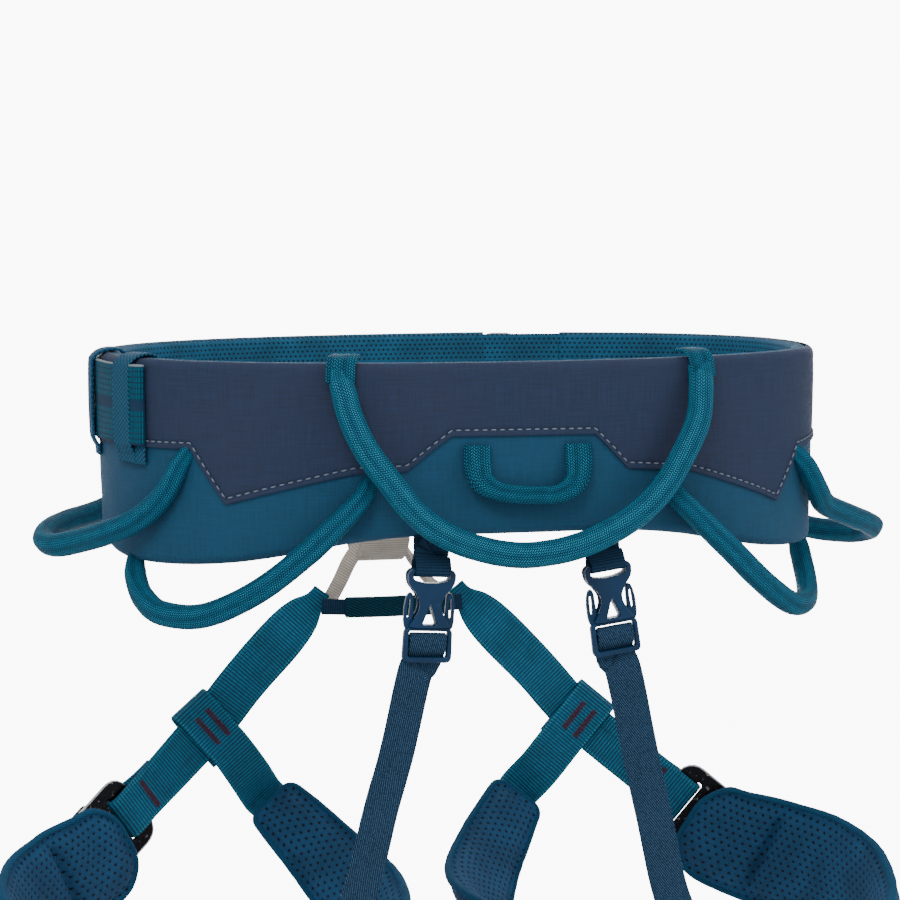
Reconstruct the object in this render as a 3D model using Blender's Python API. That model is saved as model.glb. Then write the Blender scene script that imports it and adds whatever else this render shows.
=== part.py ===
"""Climbing harness: padded waist belt, two leg loops, belay loop, gear loops and rear riser buckles.

The frame is the wearer's: +Z up, +Y the way the wearer faces, +X to the wearer's right.
The origin is the centre of the waist ring. Lengths in this script are millimetres until
a mesh is made, where MM turns them into metres.
"""

import bpy
import bmesh
from math import cos, pi, radians, sin
from mathutils import Vector

MM = 0.001

# Waist ring: a superellipse seen from above, slightly conical
RING_A = 165.0
RING_B = 100.0
RING_POWER = 2.4
RING_TAPER = 4.5
BELT_HEIGHT = 90.0
# The belt's outline against the angle from the back centre, in degrees
BELT_TOP = ((0, 40.0), (90, 41.0), (200, 42.0))
BELT_BOTTOM = ((0, -39.0), (20, -44.0), (48, -54.0), (90, -51.0), (125, -30.0), (160, -8.0), (200, -8.0))
SEAM = (
    (0, 5.5), (8.5, 5.5), (13.5, -7.5), (19, -8.0), (30, -12.5), (47.8, -22.0),
    (58, -1.0), (75, -1.5), (95, -2.0), (130, 2.0), (165, 4.0), (200, 4.0),
)
LEFT_PAD_END_X = 41.0
RIGHT_PAD_END_X = 80.0
BELT_STEPS = 50

# Layers of a pad, outwards from the belt's outer face
SHELL = (-1.2, 0.0)
LOAD_WEB = (-3.1, -1.5)
FOAM = (-9.4, -3.4)
LINER = (-11.0, -9.7)
GAP = 0.3

# Webbing
WAIST_STRAP_WIDTH = 36.0
WAIST_STRAP_THICK = 1.6
WAIST_STRAP_Z = 18.0
RISER_WIDTH = 23.0
RISER_THICK = 1.8
LEG_STRAP_WIDTH = 22.0
LEG_STRAP_THICK = 1.4
ELASTIC_WIDTH = 16.7
ELASTIC_THICK = 1.4

# Gear loops
SHEATH_WALL = 1.5
CORE_FIT = 0.84
REAR_LOOP_RADIUS = 6.2
SIDE_LOOP_RADIUS = 5.35
LOOP_STEPS = 15
LOOP_SIDES = 8
CORE_SIDES = 6

# Leg loops, right leg
LEG_BUCKLE = (153.0, 92.0, -196.0)
LEG_JUNCTION = (94.5, 117.0, -150.0)
TIE_IN_FOOT = (35.0, 122.0, -88.0)
LOWER_ATTACH = (91.0, -80.0, -255.0)
LEG_LINER = (-5.0, -3.8)
LEG_FOAM = (-3.5, 1.5)
LEG_WEB = 2.6
LEG_SHELL = (4.0, 5.2)
TAIL_LIFTS = (9.8, 7.4, 6.8, 6.8)

# Rear side-release buckles, right side
REAR_BUCKLE = (42.5, -100.3, -74.5)
REAR_BUCKLE_DOWN = (0.125, 0.014, -0.992)


# ---------------------------------------------------------------- helpers

def clear_scene():
    for obj in list(bpy.data.objects):
        bpy.data.objects.remove(obj, do_unlink=True)


def material(name, colour, roughness, metallic=0.0):
    mat = bpy.data.materials.new(name)
    mat.use_nodes = True
    shader = mat.node_tree.nodes["Principled BSDF"]
    shader.inputs["Base Color"].default_value = (*colour, 1.0)
    shader.inputs["Roughness"].default_value = roughness
    shader.inputs["Metallic"].default_value = metallic
    return mat


def finish_mesh(name, bm, mat, pivot=(0, 0, 0)):
    """Make the object from millimetre geometry, with its origin at the pivot."""
    pivot = Vector(pivot)
    bmesh.ops.remove_doubles(bm, verts=bm.verts, dist=0.01)
    bmesh.ops.recalc_face_normals(bm, faces=bm.faces)
    for vert in bm.verts:
        vert.co = (vert.co - pivot) * MM
    mesh = bpy.data.meshes.new(name)
    bm.to_mesh(mesh)
    bm.free()
    mesh.materials.append(mat)
    obj = bpy.data.objects.new(name, mesh)
    obj.location = pivot * MM
    bpy.context.scene.collection.objects.link(obj)
    return obj


def interpolate(knots, t):
    """A smooth curve through (t, value) knots."""
    last = len(knots) - 1
    i = min(max(k for k in range(last + 1) if k == 0 or knots[k][0] <= t), last - 1)
    (t0, v0), (t1, v1) = knots[i], knots[i + 1]
    before = knots[max(i - 1, 0)]
    after = knots[min(i + 2, last)]
    slope0 = (v1 - before[1]) / (t1 - before[0]) if t1 > before[0] else 0.0
    slope1 = (after[1] - v0) / (after[0] - t0)
    span = t1 - t0
    s = (t - t0) / span
    return (
        v0 * (2 * s**3 - 3 * s**2 + 1)
        + slope0 * span * (s**3 - 2 * s**2 + s)
        + v1 * (3 * s**2 - 2 * s**3)
        + slope1 * span * (s**3 - s**2)
    )


def straight(knots, t):
    """Straight runs between (t, value) knots."""
    for (t0, v0), (t1, v1) in zip(knots, knots[1:]):
        if t <= t1:
            return v0 + (v1 - v0) * (t - t0) / (t1 - t0)
    return knots[-1][1]


def belt_top(theta):
    return interpolate(BELT_TOP, abs(theta))


def belt_bottom(theta):
    return interpolate(BELT_BOTTOM, abs(theta))


def seam(theta):
    return straight(SEAM, abs(theta))


def ring(theta, out, z):
    """A point on the waist ring: theta in degrees from the back centre, out from the belt's face."""
    shift = out - RING_TAPER * (BELT_TOP[0][1] - z) / BELT_HEIGHT
    s = sin(radians(theta))
    c = cos(radians(theta))
    power = 2 / RING_POWER
    x = (RING_A + shift) * (1 if s > 0 else -1) * abs(s) ** power
    y = -(RING_B + shift) * (1 if c > 0 else -1) * abs(c) ** power
    return Vector((x, y, z))


def ring_normal(theta):
    """The belt's outward normal, which leans down because the ring narrows downwards."""
    ahead = ring(theta + 0.5, 0, 0)
    behind = ring(theta - 0.5, 0, 0)
    along = (ahead - behind).normalized()
    return Vector((along.y, -along.x, -RING_TAPER / BELT_HEIGHT)).normalized()


def front_theta(x):
    """The angle of the point of the front of the ring that lies at this x."""
    low, high = 90.0, 270.0
    for _ in range(40):
        middle = (low + high) / 2
        if ring(middle, 0, WAIST_STRAP_Z).x > x:
            low = middle
        else:
            high = middle
    return low


def ring_angles(start, end, steps=BELT_STEPS, corners=()):
    """Angles from start to end at equal lengths along the ring, with the corners added."""
    fine = [start + (end - start) * i / 1500 for i in range(1501)]
    points = [ring(t, 0, 0) for t in fine]
    lengths = [0.0]
    for a, b in zip(points, points[1:]):
        lengths.append(lengths[-1] + (b - a).length)
    angles = []
    k = 0
    for i in range(steps + 1):
        target = lengths[-1] * i / steps
        while k < 1500 and lengths[k] < target - 1e-6:
            k += 1
        angles.append(fine[k])
    for corner in corners:
        if start < corner < end:
            angles = [a for a in angles if abs(a - corner) > 1.2 or a in (start, end)] + [corner]
    return sorted(angles)


def spline(controls, steps):
    """Catmull-Rom through the control tuples, then resampled at equal lengths."""
    count = len(controls)
    dense = []
    for i in range(count - 1):
        p0 = controls[max(i - 1, 0)]
        p1 = controls[i]
        p2 = controls[i + 1]
        p3 = controls[min(i + 2, count - 1)]
        for k in range(12):
            t = k / 12
            dense.append([
                0.5 * (2 * b + (c - a) * t + (2 * a - 5 * b + 4 * c - d) * t**2
                       + (3 * b - a - 3 * c + d) * t**3)
                for a, b, c, d in zip(p0, p1, p2, p3)
            ])
    dense.append(list(controls[-1]))
    if not steps:
        return dense
    lengths = [0.0]
    for a, b in zip(dense, dense[1:]):
        lengths.append(lengths[-1] + (Vector(b[:3]) - Vector(a[:3])).length)
    result = []
    k = 0
    for i in range(steps + 1):
        target = lengths[-1] * i / steps
        while k < len(dense) - 2 and lengths[k + 1] < target:
            k += 1
        f = (target - lengths[k]) / max(lengths[k + 1] - lengths[k], 1e-9)
        result.append([a + (b - a) * f for a, b in zip(dense[k], dense[k + 1])])
    return result


def tangents(points, closed=False):
    count = len(points)
    result = []
    for i in range(count):
        before = points[(i - 1) % count] if closed else points[max(i - 1, 0)]
        after = points[(i + 1) % count] if closed else points[min(i + 1, count - 1)]
        result.append((after - before).normalized())
    return result


def loft(bm, sections, closed=False):
    """Join a row of equal loops into one tube, with flat ends unless it closes on itself."""
    rows = [[bm.verts.new(p) for p in section] for section in sections]
    size = len(rows[0])
    pairs = list(zip(rows, rows[1:]))
    if closed:
        pairs.append((rows[-1], rows[0]))
    for a, b in pairs:
        for i in range(size):
            j = (i + 1) % size
            add_quad(bm, a[i], a[j], b[j], b[i])
    if not closed:
        bm.faces.new(rows[0])
        bm.faces.new(rows[-1])


def add_quad(bm, p, q, r, s):
    """A quad, or two triangles where it is twisted, split the same way on both sides of a layer."""
    normal = (q.co - p.co).cross(s.co - p.co).normalized()
    if abs((r.co - p.co).dot(normal)) < 0.002:
        bm.faces.new((p, q, r, s))
        return
    lean = (r.co - p.co).length - (s.co - q.co).length
    if abs(lean) < 0.02:
        lean = min(q.co.z, s.co.z) - min(p.co.z, r.co.z)
        lean = -lean
    if lean < 0:
        bm.faces.new((p, q, r))
        bm.faces.new((p, r, s))
    else:
        bm.faces.new((p, q, s))
        bm.faces.new((q, r, s))


def ribbon_sections(points, normals, widths, thick, closed=False):
    sections = []
    for point, along, normal, width in zip(points, tangents(points, closed), normals, widths):
        side = along.cross(normal).normalized()
        normal = side.cross(along).normalized()
        w = side * (width / 2)
        n = normal * (thick / 2)
        sections.append((point - w - n, point + w - n, point + w + n, point - w + n))
    return sections


def ribbon(name, points, normals, width, thick, mat, pivot=(0, 0, 0), closed=False):
    """A flat strap along the points, its flat side towards the normals."""
    widths = width if isinstance(width, (list, tuple)) else [width] * len(points)
    bm = bmesh.new()
    loft(bm, ribbon_sections(points, normals, widths, thick, closed), closed)
    return finish_mesh(name, bm, mat, pivot)


def strap(name, controls, width, thick, mat, steps, pivot=(0, 0, 0)):
    """A strap from (point, normal) or (point, normal, width) controls."""
    rows = [tuple(c[0]) + tuple(c[1]) + (c[2] if len(c) > 2 else width,) for c in controls]
    rows = spline(rows, steps)
    points = [Vector(r[:3]) for r in rows]
    normals = [Vector(r[3:6]) for r in rows]
    return ribbon(name, points, normals, [r[6] for r in rows], thick, mat, pivot)


def tube_sections(points, radii, sides):
    """Round or oval sections; radii holds one (sideways, outwards) pair for each point."""
    along = tangents(points)
    side = along[0].cross(Vector((0.13, -1.0, 0.21))).normalized()
    sections = []
    for point, direction, (wide, deep) in zip(points, along, radii):
        side = (side - direction * side.dot(direction)).normalized()
        up = direction.cross(side)
        sections.append([
            point + side * (wide * cos(2 * pi * i / sides)) + up * (deep * sin(2 * pi * i / sides))
            for i in range(sides)
        ])
    return sections


def sheath(name, points, radii, wall, sides, mat, pivot):
    """An open-ended sleeve with a wall."""
    bm = bmesh.new()
    outer = tube_sections(points, radii, sides)
    inner = tube_sections(points, [(a - wall, b - wall) for a, b in radii], sides)
    loops = []
    for sections in (outer, inner):
        rows = [[bm.verts.new(p) for p in section] for section in sections]
        for a, b in zip(rows, rows[1:]):
            for i in range(sides):
                j = (i + 1) % sides
                bm.faces.new((a[i], a[j], b[j], b[i]))
        loops.append(rows)
    for end in (0, -1):
        a, b = loops[0][end], loops[1][end]
        for i in range(sides):
            j = (i + 1) % sides
            bm.faces.new((a[i], a[j], b[j], b[i]))
    return finish_mesh(name, bm, mat, pivot)


def plate_with_slots(name, us, ws, open_cells, low, high, place, mat, pivot=(0, 0, 0)):
    """A flat plate from a grid of cells, some left open; place turns (u, h, w) into a point."""
    bm = bmesh.new()
    verts = {}

    def vert(i, j, top):
        key = (i, j, top)
        if key not in verts:
            verts[key] = bm.verts.new(place(us[i], high if top else low, ws[j]))
        return verts[key]

    def is_solid(i, j):
        inside = 0 <= i < len(us) - 1 and 0 <= j < len(ws) - 1
        return inside and (i, j) not in open_cells

    for i in range(len(us) - 1):
        for j in range(len(ws) - 1):
            if not is_solid(i, j):
                continue
            for top in (True, False):
                bm.faces.new([vert(a, b, top) for a, b in ((i, j), (i + 1, j), (i + 1, j + 1), (i, j + 1))])
            for di, dj, a, b in ((-1, 0, (i, j), (i, j + 1)), (1, 0, (i + 1, j), (i + 1, j + 1)),
                                 (0, -1, (i, j), (i + 1, j)), (0, 1, (i, j + 1), (i + 1, j + 1))):
                if not is_solid(i + di, j + dj):
                    bm.faces.new((vert(*a, True), vert(*b, True), vert(*b, False), vert(*a, False)))
    return finish_mesh(name, bm, mat, pivot)


def extruded_outline(name, loops, low, high, place, mat, pivot=(0, 0, 0)):
    """Extrude a flat outline with holes; loops hold (w, d) points and place takes (w, d, n)."""
    bm = bmesh.new()
    edges = []
    for loop in loops:
        verts = [bm.verts.new((w, d, 0)) for w, d in loop]
        edges += [bm.edges.new((verts[i - 1], verts[i])) for i in range(len(verts))]
    bmesh.ops.triangle_fill(bm, use_beauty=True, edges=edges)
    grown = bmesh.ops.extrude_face_region(bm, geom=list(bm.faces))["geom"]
    top = {v for v in grown if isinstance(v, bmesh.types.BMVert)}
    for vert in bm.verts:
        vert.co = place(vert.co.x, vert.co.y, high if vert in top else low)
    return finish_mesh(name, bm, mat, pivot)


def cut(obj, cutter):
    """Cut the solid away with a hidden cutter."""
    cutter.hide_render = True
    cutter.display_type = "WIRE"
    boolean = obj.modifiers.new("Cut", "BOOLEAN")
    boolean.operation = "DIFFERENCE"
    boolean.solver = "EXACT"
    boolean.object = cutter


def mirrored(point, side):
    return Vector((point[0] * side, point[1], point[2]))


# ---------------------------------------------------------------- waist belt

def pad_angles():
    left_end = front_theta(LEFT_PAD_END_X) - 360
    right_end = front_theta(RIGHT_PAD_END_X)
    corners = [sign * t for t, _ in SEAM[1:-1] for sign in (-1, 1)]
    return ring_angles(left_end, right_end, BELT_STEPS, corners)


def belt_layer(name, angles, layer, low, high, mat):
    bm = bmesh.new()
    inner, outer = layer
    loft(bm, [
        (ring(t, inner, low(t)), ring(t, outer, low(t)), ring(t, outer, high(t)), ring(t, inner, high(t)))
        for t in angles
    ])
    return finish_mesh(name, bm, mat)


def waist_belt(mats):
    angles = pad_angles()
    belt_layer("waist_shell_upper", angles, SHELL, lambda t: seam(t) + GAP, belt_top, mats["navy_fabric"])
    belt_layer("waist_shell_lower", angles, SHELL, belt_bottom, seam, mats["teal_fabric"])
    belt_layer("waist_foam", angles, FOAM, lambda t: belt_bottom(t) + 1.5,
               lambda t: belt_top(t) - 1.5, mats["foam"])
    belt_layer("waist_liner", angles, LINER, belt_bottom, belt_top, mats["mesh_fabric"])
    # a thin tongue behind the waist buckle
    start = front_theta(RIGHT_PAD_END_X - 0.5)
    end = front_theta(LEFT_PAD_END_X + 0.5)
    belt_layer("waist_buckle_flap", ring_angles(start, end, 5), (-10.5, -8.0), lambda t: -6.0,
               lambda t: 41.0, mats["mesh_fabric"])
    web_start = front_theta(20.0) - 360
    web_end = front_theta(101.5)
    web = [web_start] + [t for t in angles if web_start + 1 < t < web_end - 1] + [web_end]
    half = WAIST_STRAP_WIDTH / 2
    belt_layer("waist_load_web", web, LOAD_WEB, lambda t: WAIST_STRAP_Z - half,
               lambda t: WAIST_STRAP_Z + half, mats["webbing"])
    return angles


# ---------------------------------------------------------------- two-plate buckles

BUCKLE_SIDE_BAR = 4.0
FRAME_US = (-17, -11, -4, 4, 11, 17)
FRAME_HEIGHTS = (3.2, 5.7)
SLIDER_US = (-18, -11, -4, 0)
SLIDER_HEIGHTS = (6.2, 8.2)
STRAP_ROUTE = (
    # u, h and the normal's (u, h): under the frame, up through both plates, back over the slider
    (-20.0, 1.5, 0, 1), (-13.0, 1.5, 0, 1), (-9.3, 2.3, -0.6, 0.8),
    (-7.6, 4.6, -1, 0), (-7.5, 7.6, -1, 0), (-8.4, 10.2, -0.8, -0.6), (-11.5, 11.5, 0, -1),
    (-17.0, 11.4, 0.05, -1), (-22.0, 11.3, 0.1, -1),
)
ANCHOR_ROUTE = (
    (32.0, 1.2, 0, 1), (20.0, 1.2, 0, 1), (13.0, 1.2, 0, 1), (9.2, 1.9, 0.6, 0.8),
    (7.6, 3.4, 1, 0), (7.6, 5.4, 1, 0), (9.2, 7.0, 0.6, -0.8), (13.5, 7.7, 0, -1),
)


# the slider turns about its far edge
SLIDER_HINGE = (-18, 6.2, 0)


def buckle_place(origin, along, out, scale):
    """Turns the buckle's own (u, h, w) into a point: u along the strap, h outwards, w across."""
    across = along.cross(out).normalized()

    def place(u, h, w):
        return origin + along * (u * scale) + out * h + across * w

    def direction(u, h):
        return (along * u + out * h).normalized()

    return place, direction


def route(rows, place, direction):
    return [(place(u, h, 0), direction(nu, nh)) for u, h, nu, nh in rows]


def two_plate_buckle(prefix, place, width, mat, hinge):
    """A frame with two slots and the slider that lies on it; the slider's origin is on its hinge."""
    half = width / 2
    slot = half - BUCKLE_SIDE_BAR
    ws = (-half, -slot, slot, half)
    plate_with_slots(prefix + "_frame", FRAME_US, ws, {(1, 1), (3, 1)}, *FRAME_HEIGHTS, place, mat)
    plate_with_slots(prefix + "_slider", SLIDER_US, ws, {(1, 1)}, *SLIDER_HEIGHTS, place, mat, hinge)


WAIST_BUCKLE_X = 60.5
WAIST_BUCKLE_WIDTH = 48.0
WAIST_BUCKLE_OUT = -3.8
STRAP_INSIDE = -2.3
# how far the free end of the waist strap stands off the belt, against the angle
TAIL_LIFT = ((-165, 4.6), (-160, 4.4), (-135, 3.2), (-110, 2.2), (-60, 2.0))
TAIL_START_X = 24.0
TAIL_END = -67.5
TAIL_RAISE = ((-200, 0.0), (-150, 0.0), (-90, 2.0), (-60, 2.0))


def waist_strap_and_buckle(mats, angles):
    theta = front_theta(WAIST_BUCKLE_X)
    out = ring_normal(theta)
    origin = ring(theta, WAIST_BUCKLE_OUT, WAIST_STRAP_Z)
    along = Vector((out.y, -out.x, 0))
    place, direction = buckle_place(origin, along, out, 1.0)
    two_plate_buckle("waist_buckle", place, WAIST_BUCKLE_WIDTH, mats["black_metal"], place(*SLIDER_HINGE))

    controls = []
    for x in (21.0, 28.0, 35.0, 41.5):
        t = front_theta(x)
        controls.append((ring(t, STRAP_INSIDE, WAIST_STRAP_Z), ring_normal(t)))
    controls += route(STRAP_ROUTE[1:], place, direction)
    # the free end runs back over the belt to the wearer's left side
    theta = front_theta(32.0)
    controls.append((ring(theta, 6.4, WAIST_STRAP_Z), -ring_normal(theta)))
    controls = [tuple(p) + tuple(n) for p, n in controls]
    rows = spline(controls, 0)[::3]
    points = [Vector(r[:3]) for r in rows]
    normals = [Vector(r[3:6]) for r in rows]
    tail_start = front_theta(TAIL_START_X) - 360
    tail = [tail_start] + [t for t in angles if tail_start + 2 < t < TAIL_END - 1] + [TAIL_END]
    for t in tail:
        lift = straight(TAIL_LIFT, max(t, TAIL_LIFT[0][0]))
        points.append(ring(t, lift, WAIST_STRAP_Z + straight(TAIL_RAISE, t)))
        normals.append(-ring_normal(t))
    ribbon("waist_strap", points, normals, WAIST_STRAP_WIDTH, WAIST_STRAP_THICK, mats["strap_webbing"])

    controls = []
    for x in (100.0, 93.0, 86.0, 79.5):
        t = front_theta(x)
        controls.append((ring(t, STRAP_INSIDE, WAIST_STRAP_Z), ring_normal(t)))
    controls += route(ANCHOR_ROUTE[2:], place, direction)
    for x, lift in ((84.0, 1.9), (92.0, 1.3), (102.0, 1.3)):
        t = front_theta(x)
        controls.append((ring(t, lift, WAIST_STRAP_Z), -ring_normal(t)))
    strap("waist_buckle_anchor", controls, WAIST_STRAP_WIDTH, WAIST_STRAP_THICK, mats["strap_webbing"], 24)


# heights of a keeper's middle line and how far it stands off the belt
KEEPER_RISE = ((42.5, 1.3), (41.2, 3.6), (38.5, 4.6), (20.0, 4.6), (1.5, 4.6), (-1.2, 3.6), (-6.0, 1.3))
KEEPERS = (("rear", -76.5), ("front", -100.0))
KEEPER_WIDTH = 11.0
KEEPER_THICK = 1.2


def waist_keepers(mats):
    """Elastic bands over the stowed end of the waist strap."""
    for label, theta in KEEPERS:
        normal = ring_normal(theta)
        controls = [(ring(theta, out, z), normal) for z, out in KEEPER_RISE]
        strap(f"strap_keeper_{label}", controls, KEEPER_WIDTH, KEEPER_THICK, mats["elastic"], 12)


# ---------------------------------------------------------------- tie-in points and belay loop

TIE_IN_THICK = 2.4
# left half of the upper loop below the belt's face: point, normal and width
UPPER_LOOP_HALF = (
    ((-26.5, 104.6, -7.5), (-0.4, 1, 0), 14.0), ((-26.3, 111.0, -12.5), (-1, 0.7, -0.3), 12.0),
    ((-24.5, 116.4, -18.2), (-0.85, 0, -0.5), 11.0), ((-16.0, 118.0, -21.8), (-0.2, 0, -1), 11.0),
)
UPPER_LOOP_MIDDLE = ((0, 118.0, -22.0), (0, 0, -1), 11.0)
# left half of the lower bridge, from the foot of the leg riser
LOWER_BRIDGE_HALF = (
    ((-35.0, 121.5, -86.5), (-0.8, 0, 0.6), 11.0), ((-30.0, 120.7, -76.5), (-0.9, 0, 0.4), 11.0),
    ((-24.5, 119.8, -67.5), (-0.7, 0, 0.7), 11.0), ((-15.5, 118.6, -62.8), (-0.15, 0, 1), 11.0),
)
LOWER_BRIDGE_MIDDLE = ((0, 118.0, -62.2), (0, 0, 1), 11.0)
CROTCH_Y = 116.9
CROTCH_POINTS = ((-33, -94.6), (-15, -95.2), (15, -95.2), (33, -94.6))
SLEEVE_Z = -95.2
SLEEVE_XS = (-24.0, 3.0, 28.0)


def both_halves(half, middle):
    """Controls of a strap that is the same on both sides of its middle."""
    other = [((-p[0], p[1], p[2]), (-n[0], n[1], n[2]), w) for p, n, w in reversed(half)]
    return list(half) + [middle] + other


def tie_in(mats):
    theta = front_theta(-26.0)
    half = [(ring(theta, 2.1, z), ring_normal(theta), 14.0) for z in (30.0, 14.0, -1.5)]
    controls = both_halves(half + list(UPPER_LOOP_HALF), UPPER_LOOP_MIDDLE)
    strap("upper_tie_in_loop", controls, 14.0, TIE_IN_THICK, mats["tie_in_webbing"], 36)
    controls = both_halves(LOWER_BRIDGE_HALF, LOWER_BRIDGE_MIDDLE)
    strap("lower_tie_in_bridge", controls, 11.0, TIE_IN_THICK, mats["tie_in_webbing"], 24)
    controls = [((x, CROTCH_Y, z), (0, -1, 0)) for x, z in CROTCH_POINTS]
    strap("crotch_keeper_strap", controls, 8.0, 1.6, mats["dark_webbing"], 8)
    crotch_sleeve(mats["dark_webbing"])


def crotch_sleeve(mat):
    """A short rectangular sleeve round the crotch strap."""
    bm = bmesh.new()
    loops = []
    for depth, height in ((2.0, 5.2), (1.2, 4.4)):
        corners = ((-depth, -height), (depth, -height), (depth, height), (-depth, height))
        rows = [[bm.verts.new((x, CROTCH_Y + h, SLEEVE_Z + w)) for h, w in corners] for x in SLEEVE_XS]
        for a, b in zip(rows, rows[1:]):
            for i in range(4):
                j = (i + 1) % 4
                bm.faces.new((a[i], a[j], b[j], b[i]))
        loops.append(rows)
    for end in (0, -1):
        for i in range(4):
            j = (i + 1) % 4
            bm.faces.new((loops[0][end][i], loops[0][end][j], loops[1][end][j], loops[1][end][i]))
    finish_mesh("crotch_keeper_sleeve", bm, mat)


BELAY_X = -5.0
BELAY_Y = 118.0
BELAY_PIVOT = (BELAY_X, BELAY_Y, -22.0)
BELAY_RADIUS = 15.9
BELAY_STRAIGHT = (-55.2, -31.7)
BELAY_BEND_STEPS = 7


def belay_loop(mats):
    """A closed loop of thick webbing, hanging on the upper tie-in point round the lower one."""
    bottom, top = BELAY_STRAIGHT
    points = []
    normals = []
    for start, z in ((0, top), (180, bottom)):
        for k in range(BELAY_BEND_STEPS + 1):
            angle = radians(start + 180 * k / BELAY_BEND_STEPS)
            normal = Vector((0, cos(angle), sin(angle)))
            points.append(Vector((BELAY_X, BELAY_Y, z)) + normal * BELAY_RADIUS)
            normals.append(normal)
    ribbon("belay_loop", points, normals, 23.0, 5.0, mats["tie_in_webbing"], BELAY_PIVOT, closed=True)


# ---------------------------------------------------------------- gear loops and haul loop

def gear_loop(name, controls, radius, flat_ends, mats, pivot):
    """A braided sheath with open ends and the cord inside it, as two bodies."""
    rows = spline([tuple(c) for c in controls], LOOP_STEPS)
    points = [Vector(r) for r in rows]
    last = len(points) - 1
    radii = []
    for i in range(last + 1):
        reach = min(i, last - i) / flat_ends
        deep = radius if reach >= 1 else radius * (0.52 + 0.48 * reach)
        radii.append((radius, deep))
    sheath(name, points, radii, SHEATH_WALL, LOOP_SIDES, mats["braid"], pivot)
    bm = bmesh.new()
    core = [((a - SHEATH_WALL) * CORE_FIT, (b - SHEATH_WALL) * CORE_FIT) for a, b in radii]
    loft(bm, tube_sections(points, core, CORE_SIDES)[1:-1])
    finish_mesh(name + "_core", bm, mats["foam"], pivot)


# right half of the rear loop, from its sewn end to its lowest point
REAR_LOOP_HALF = (
    (83, -100.6, 34), (80.5, -104, 19), (71, -107.5, -1), (53, -111, -20.5), (37, -113.5, -31),
    (20, -115.5, -39),
)
REAR_LOOP_BOTTOM = (0, -116, -43.5)
REAR_LOOP_PIVOT = (0, -100.6, 34)
# the loop that hangs under the belt's side, in ring coordinates
SIDE_REAR_LOOP = (
    (22.5, 6.3, -12), (24.5, 7, -25), (30, 7.5, -43), (39, 8, -60), (50, 8.5, -71),
    (61, 8.5, -70.5), (68, 6.5, -66), (72.5, 0.5, -59.5),
)
# the loop that stands out from the right side
SIDE_FRONT_LOOP = (
    (148, -60, -2), (162, -50, -17), (184, -28, -34), (199, -2, -42), (197, 25, -42),
    (180, 50, -37), (162, 65, -30), (152, 70, -24),
)
TAPE_THETA = 26.2
TAPE_RISE = ((41.6, 1.6), (40.0, 2.4), (37.0, 2.8))
TAPE_WIDTH = 12.5
HAUL_LOOP_HALF = (
    ((-27.5, -100.3, 3.0), (0, -1, 0), 12.0), ((-27.0, -101.5, -6.0), (0, -1, 0), 12.0),
    ((-22.5, -103.0, -14.0), (0, -1, 0), 9.5), ((-12.0, -104.0, -17.5), (0, -1, 0), 7.5),
)
HAUL_LOOP_MIDDLE = ((0, -104.2, -18.2), (0, -1, 0), 7.5)
HAUL_LOOP_PIVOT = (0, -100.3, 3.0)
THIN_WEBBING = 1.8


def gear_loops(mats):
    controls = list(REAR_LOOP_HALF) + [REAR_LOOP_BOTTOM] + [mirrored(p, -1) for p in reversed(REAR_LOOP_HALF)]
    gear_loop("gear_loop_rear", controls, REAR_LOOP_RADIUS, 2, mats, REAR_LOOP_PIVOT)
    for side, label in ((-1, "left"), (1, "right")):
        controls = [ring(side * t, out, z) for t, out, z in SIDE_REAR_LOOP]
        gear_loop(f"gear_loop_{label}_rear", controls, SIDE_LOOP_RADIUS, 1, mats, controls[0])
        controls = [mirrored(p, side) for p in SIDE_FRONT_LOOP]
        gear_loop(f"gear_loop_{label}_front", controls, SIDE_LOOP_RADIUS, 1, mats, controls[0])
        theta = side * TAPE_THETA
        controls = [(ring(theta, out, z), ring_normal(theta)) for z, out in TAPE_RISE]
        strap(f"gear_loop_tape_{label}", controls, TAPE_WIDTH, THIN_WEBBING, mats["braid"], 4)


def haul_loop(mats):
    controls = both_halves(HAUL_LOOP_HALF, HAUL_LOOP_MIDDLE)
    strap("haul_loop", controls, 12.0, THIN_WEBBING, mats["webbing"], 24, HAUL_LOOP_PIVOT)


# ---------------------------------------------------------------- rear buckles and elastic

FEMALE_SIDE = ((3.0, -16.0), (9.2, -16.0), (11.0, -14.0), (10.6, -9.5), (6.6, -5.0), (4.8, -1.5), (5.2, 2.0),
               (7.6, 6.5), (9.8, 10.6), (6.0, 11.2))
PRONG = ((7.4, 11.9), (10.2, 11.9), (11.0, 7.0), (11.0, 1.5), (9.6, -3.4), (8.8, -4.2), (8.2, -3.0),
         (8.6, 1.0), (8.4, 6.0))


SOCKET_SLOT = ((8.6, -12.6), (8.2, -9.4), (3.0, -8.2))
SOCKET_WINDOW = [(0, 1.6), (3.2, 8.8), (-3.2, 8.8)]
SOCKET_HALF_DEPTH = 3.0
CHANNEL = ((3.9, -6.0), (13, -6.0), (13, 13), (3.9, 13))
CHANNEL_HALF_DEPTH = 1.5
PRONG_HOLE = ((9.4, 1.6), (10.2, 1.6), (10.2, 6.4), (9.4, 6.4))
PRONG_HALF_DEPTH = 1.1
PRONG_HINGE = (8.8, 11.9)
PLUG_DS = (12.3, 15.0, 20.6, 24.2)
PLUG_WS = (-11, -8.8, 8.8, 11)
PLUG_HALF_DEPTH = 1.9
REAR_WEBBING_THETA = 10.4
REAR_WEBBING_TOP = ((-2.3, -33.0), (-2.3, -38.0), (-2.2, -43.0))


def both_sides(half):
    return [(w, d) for w, d in half] + [(-w, d) for w, d in reversed(half)]


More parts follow.
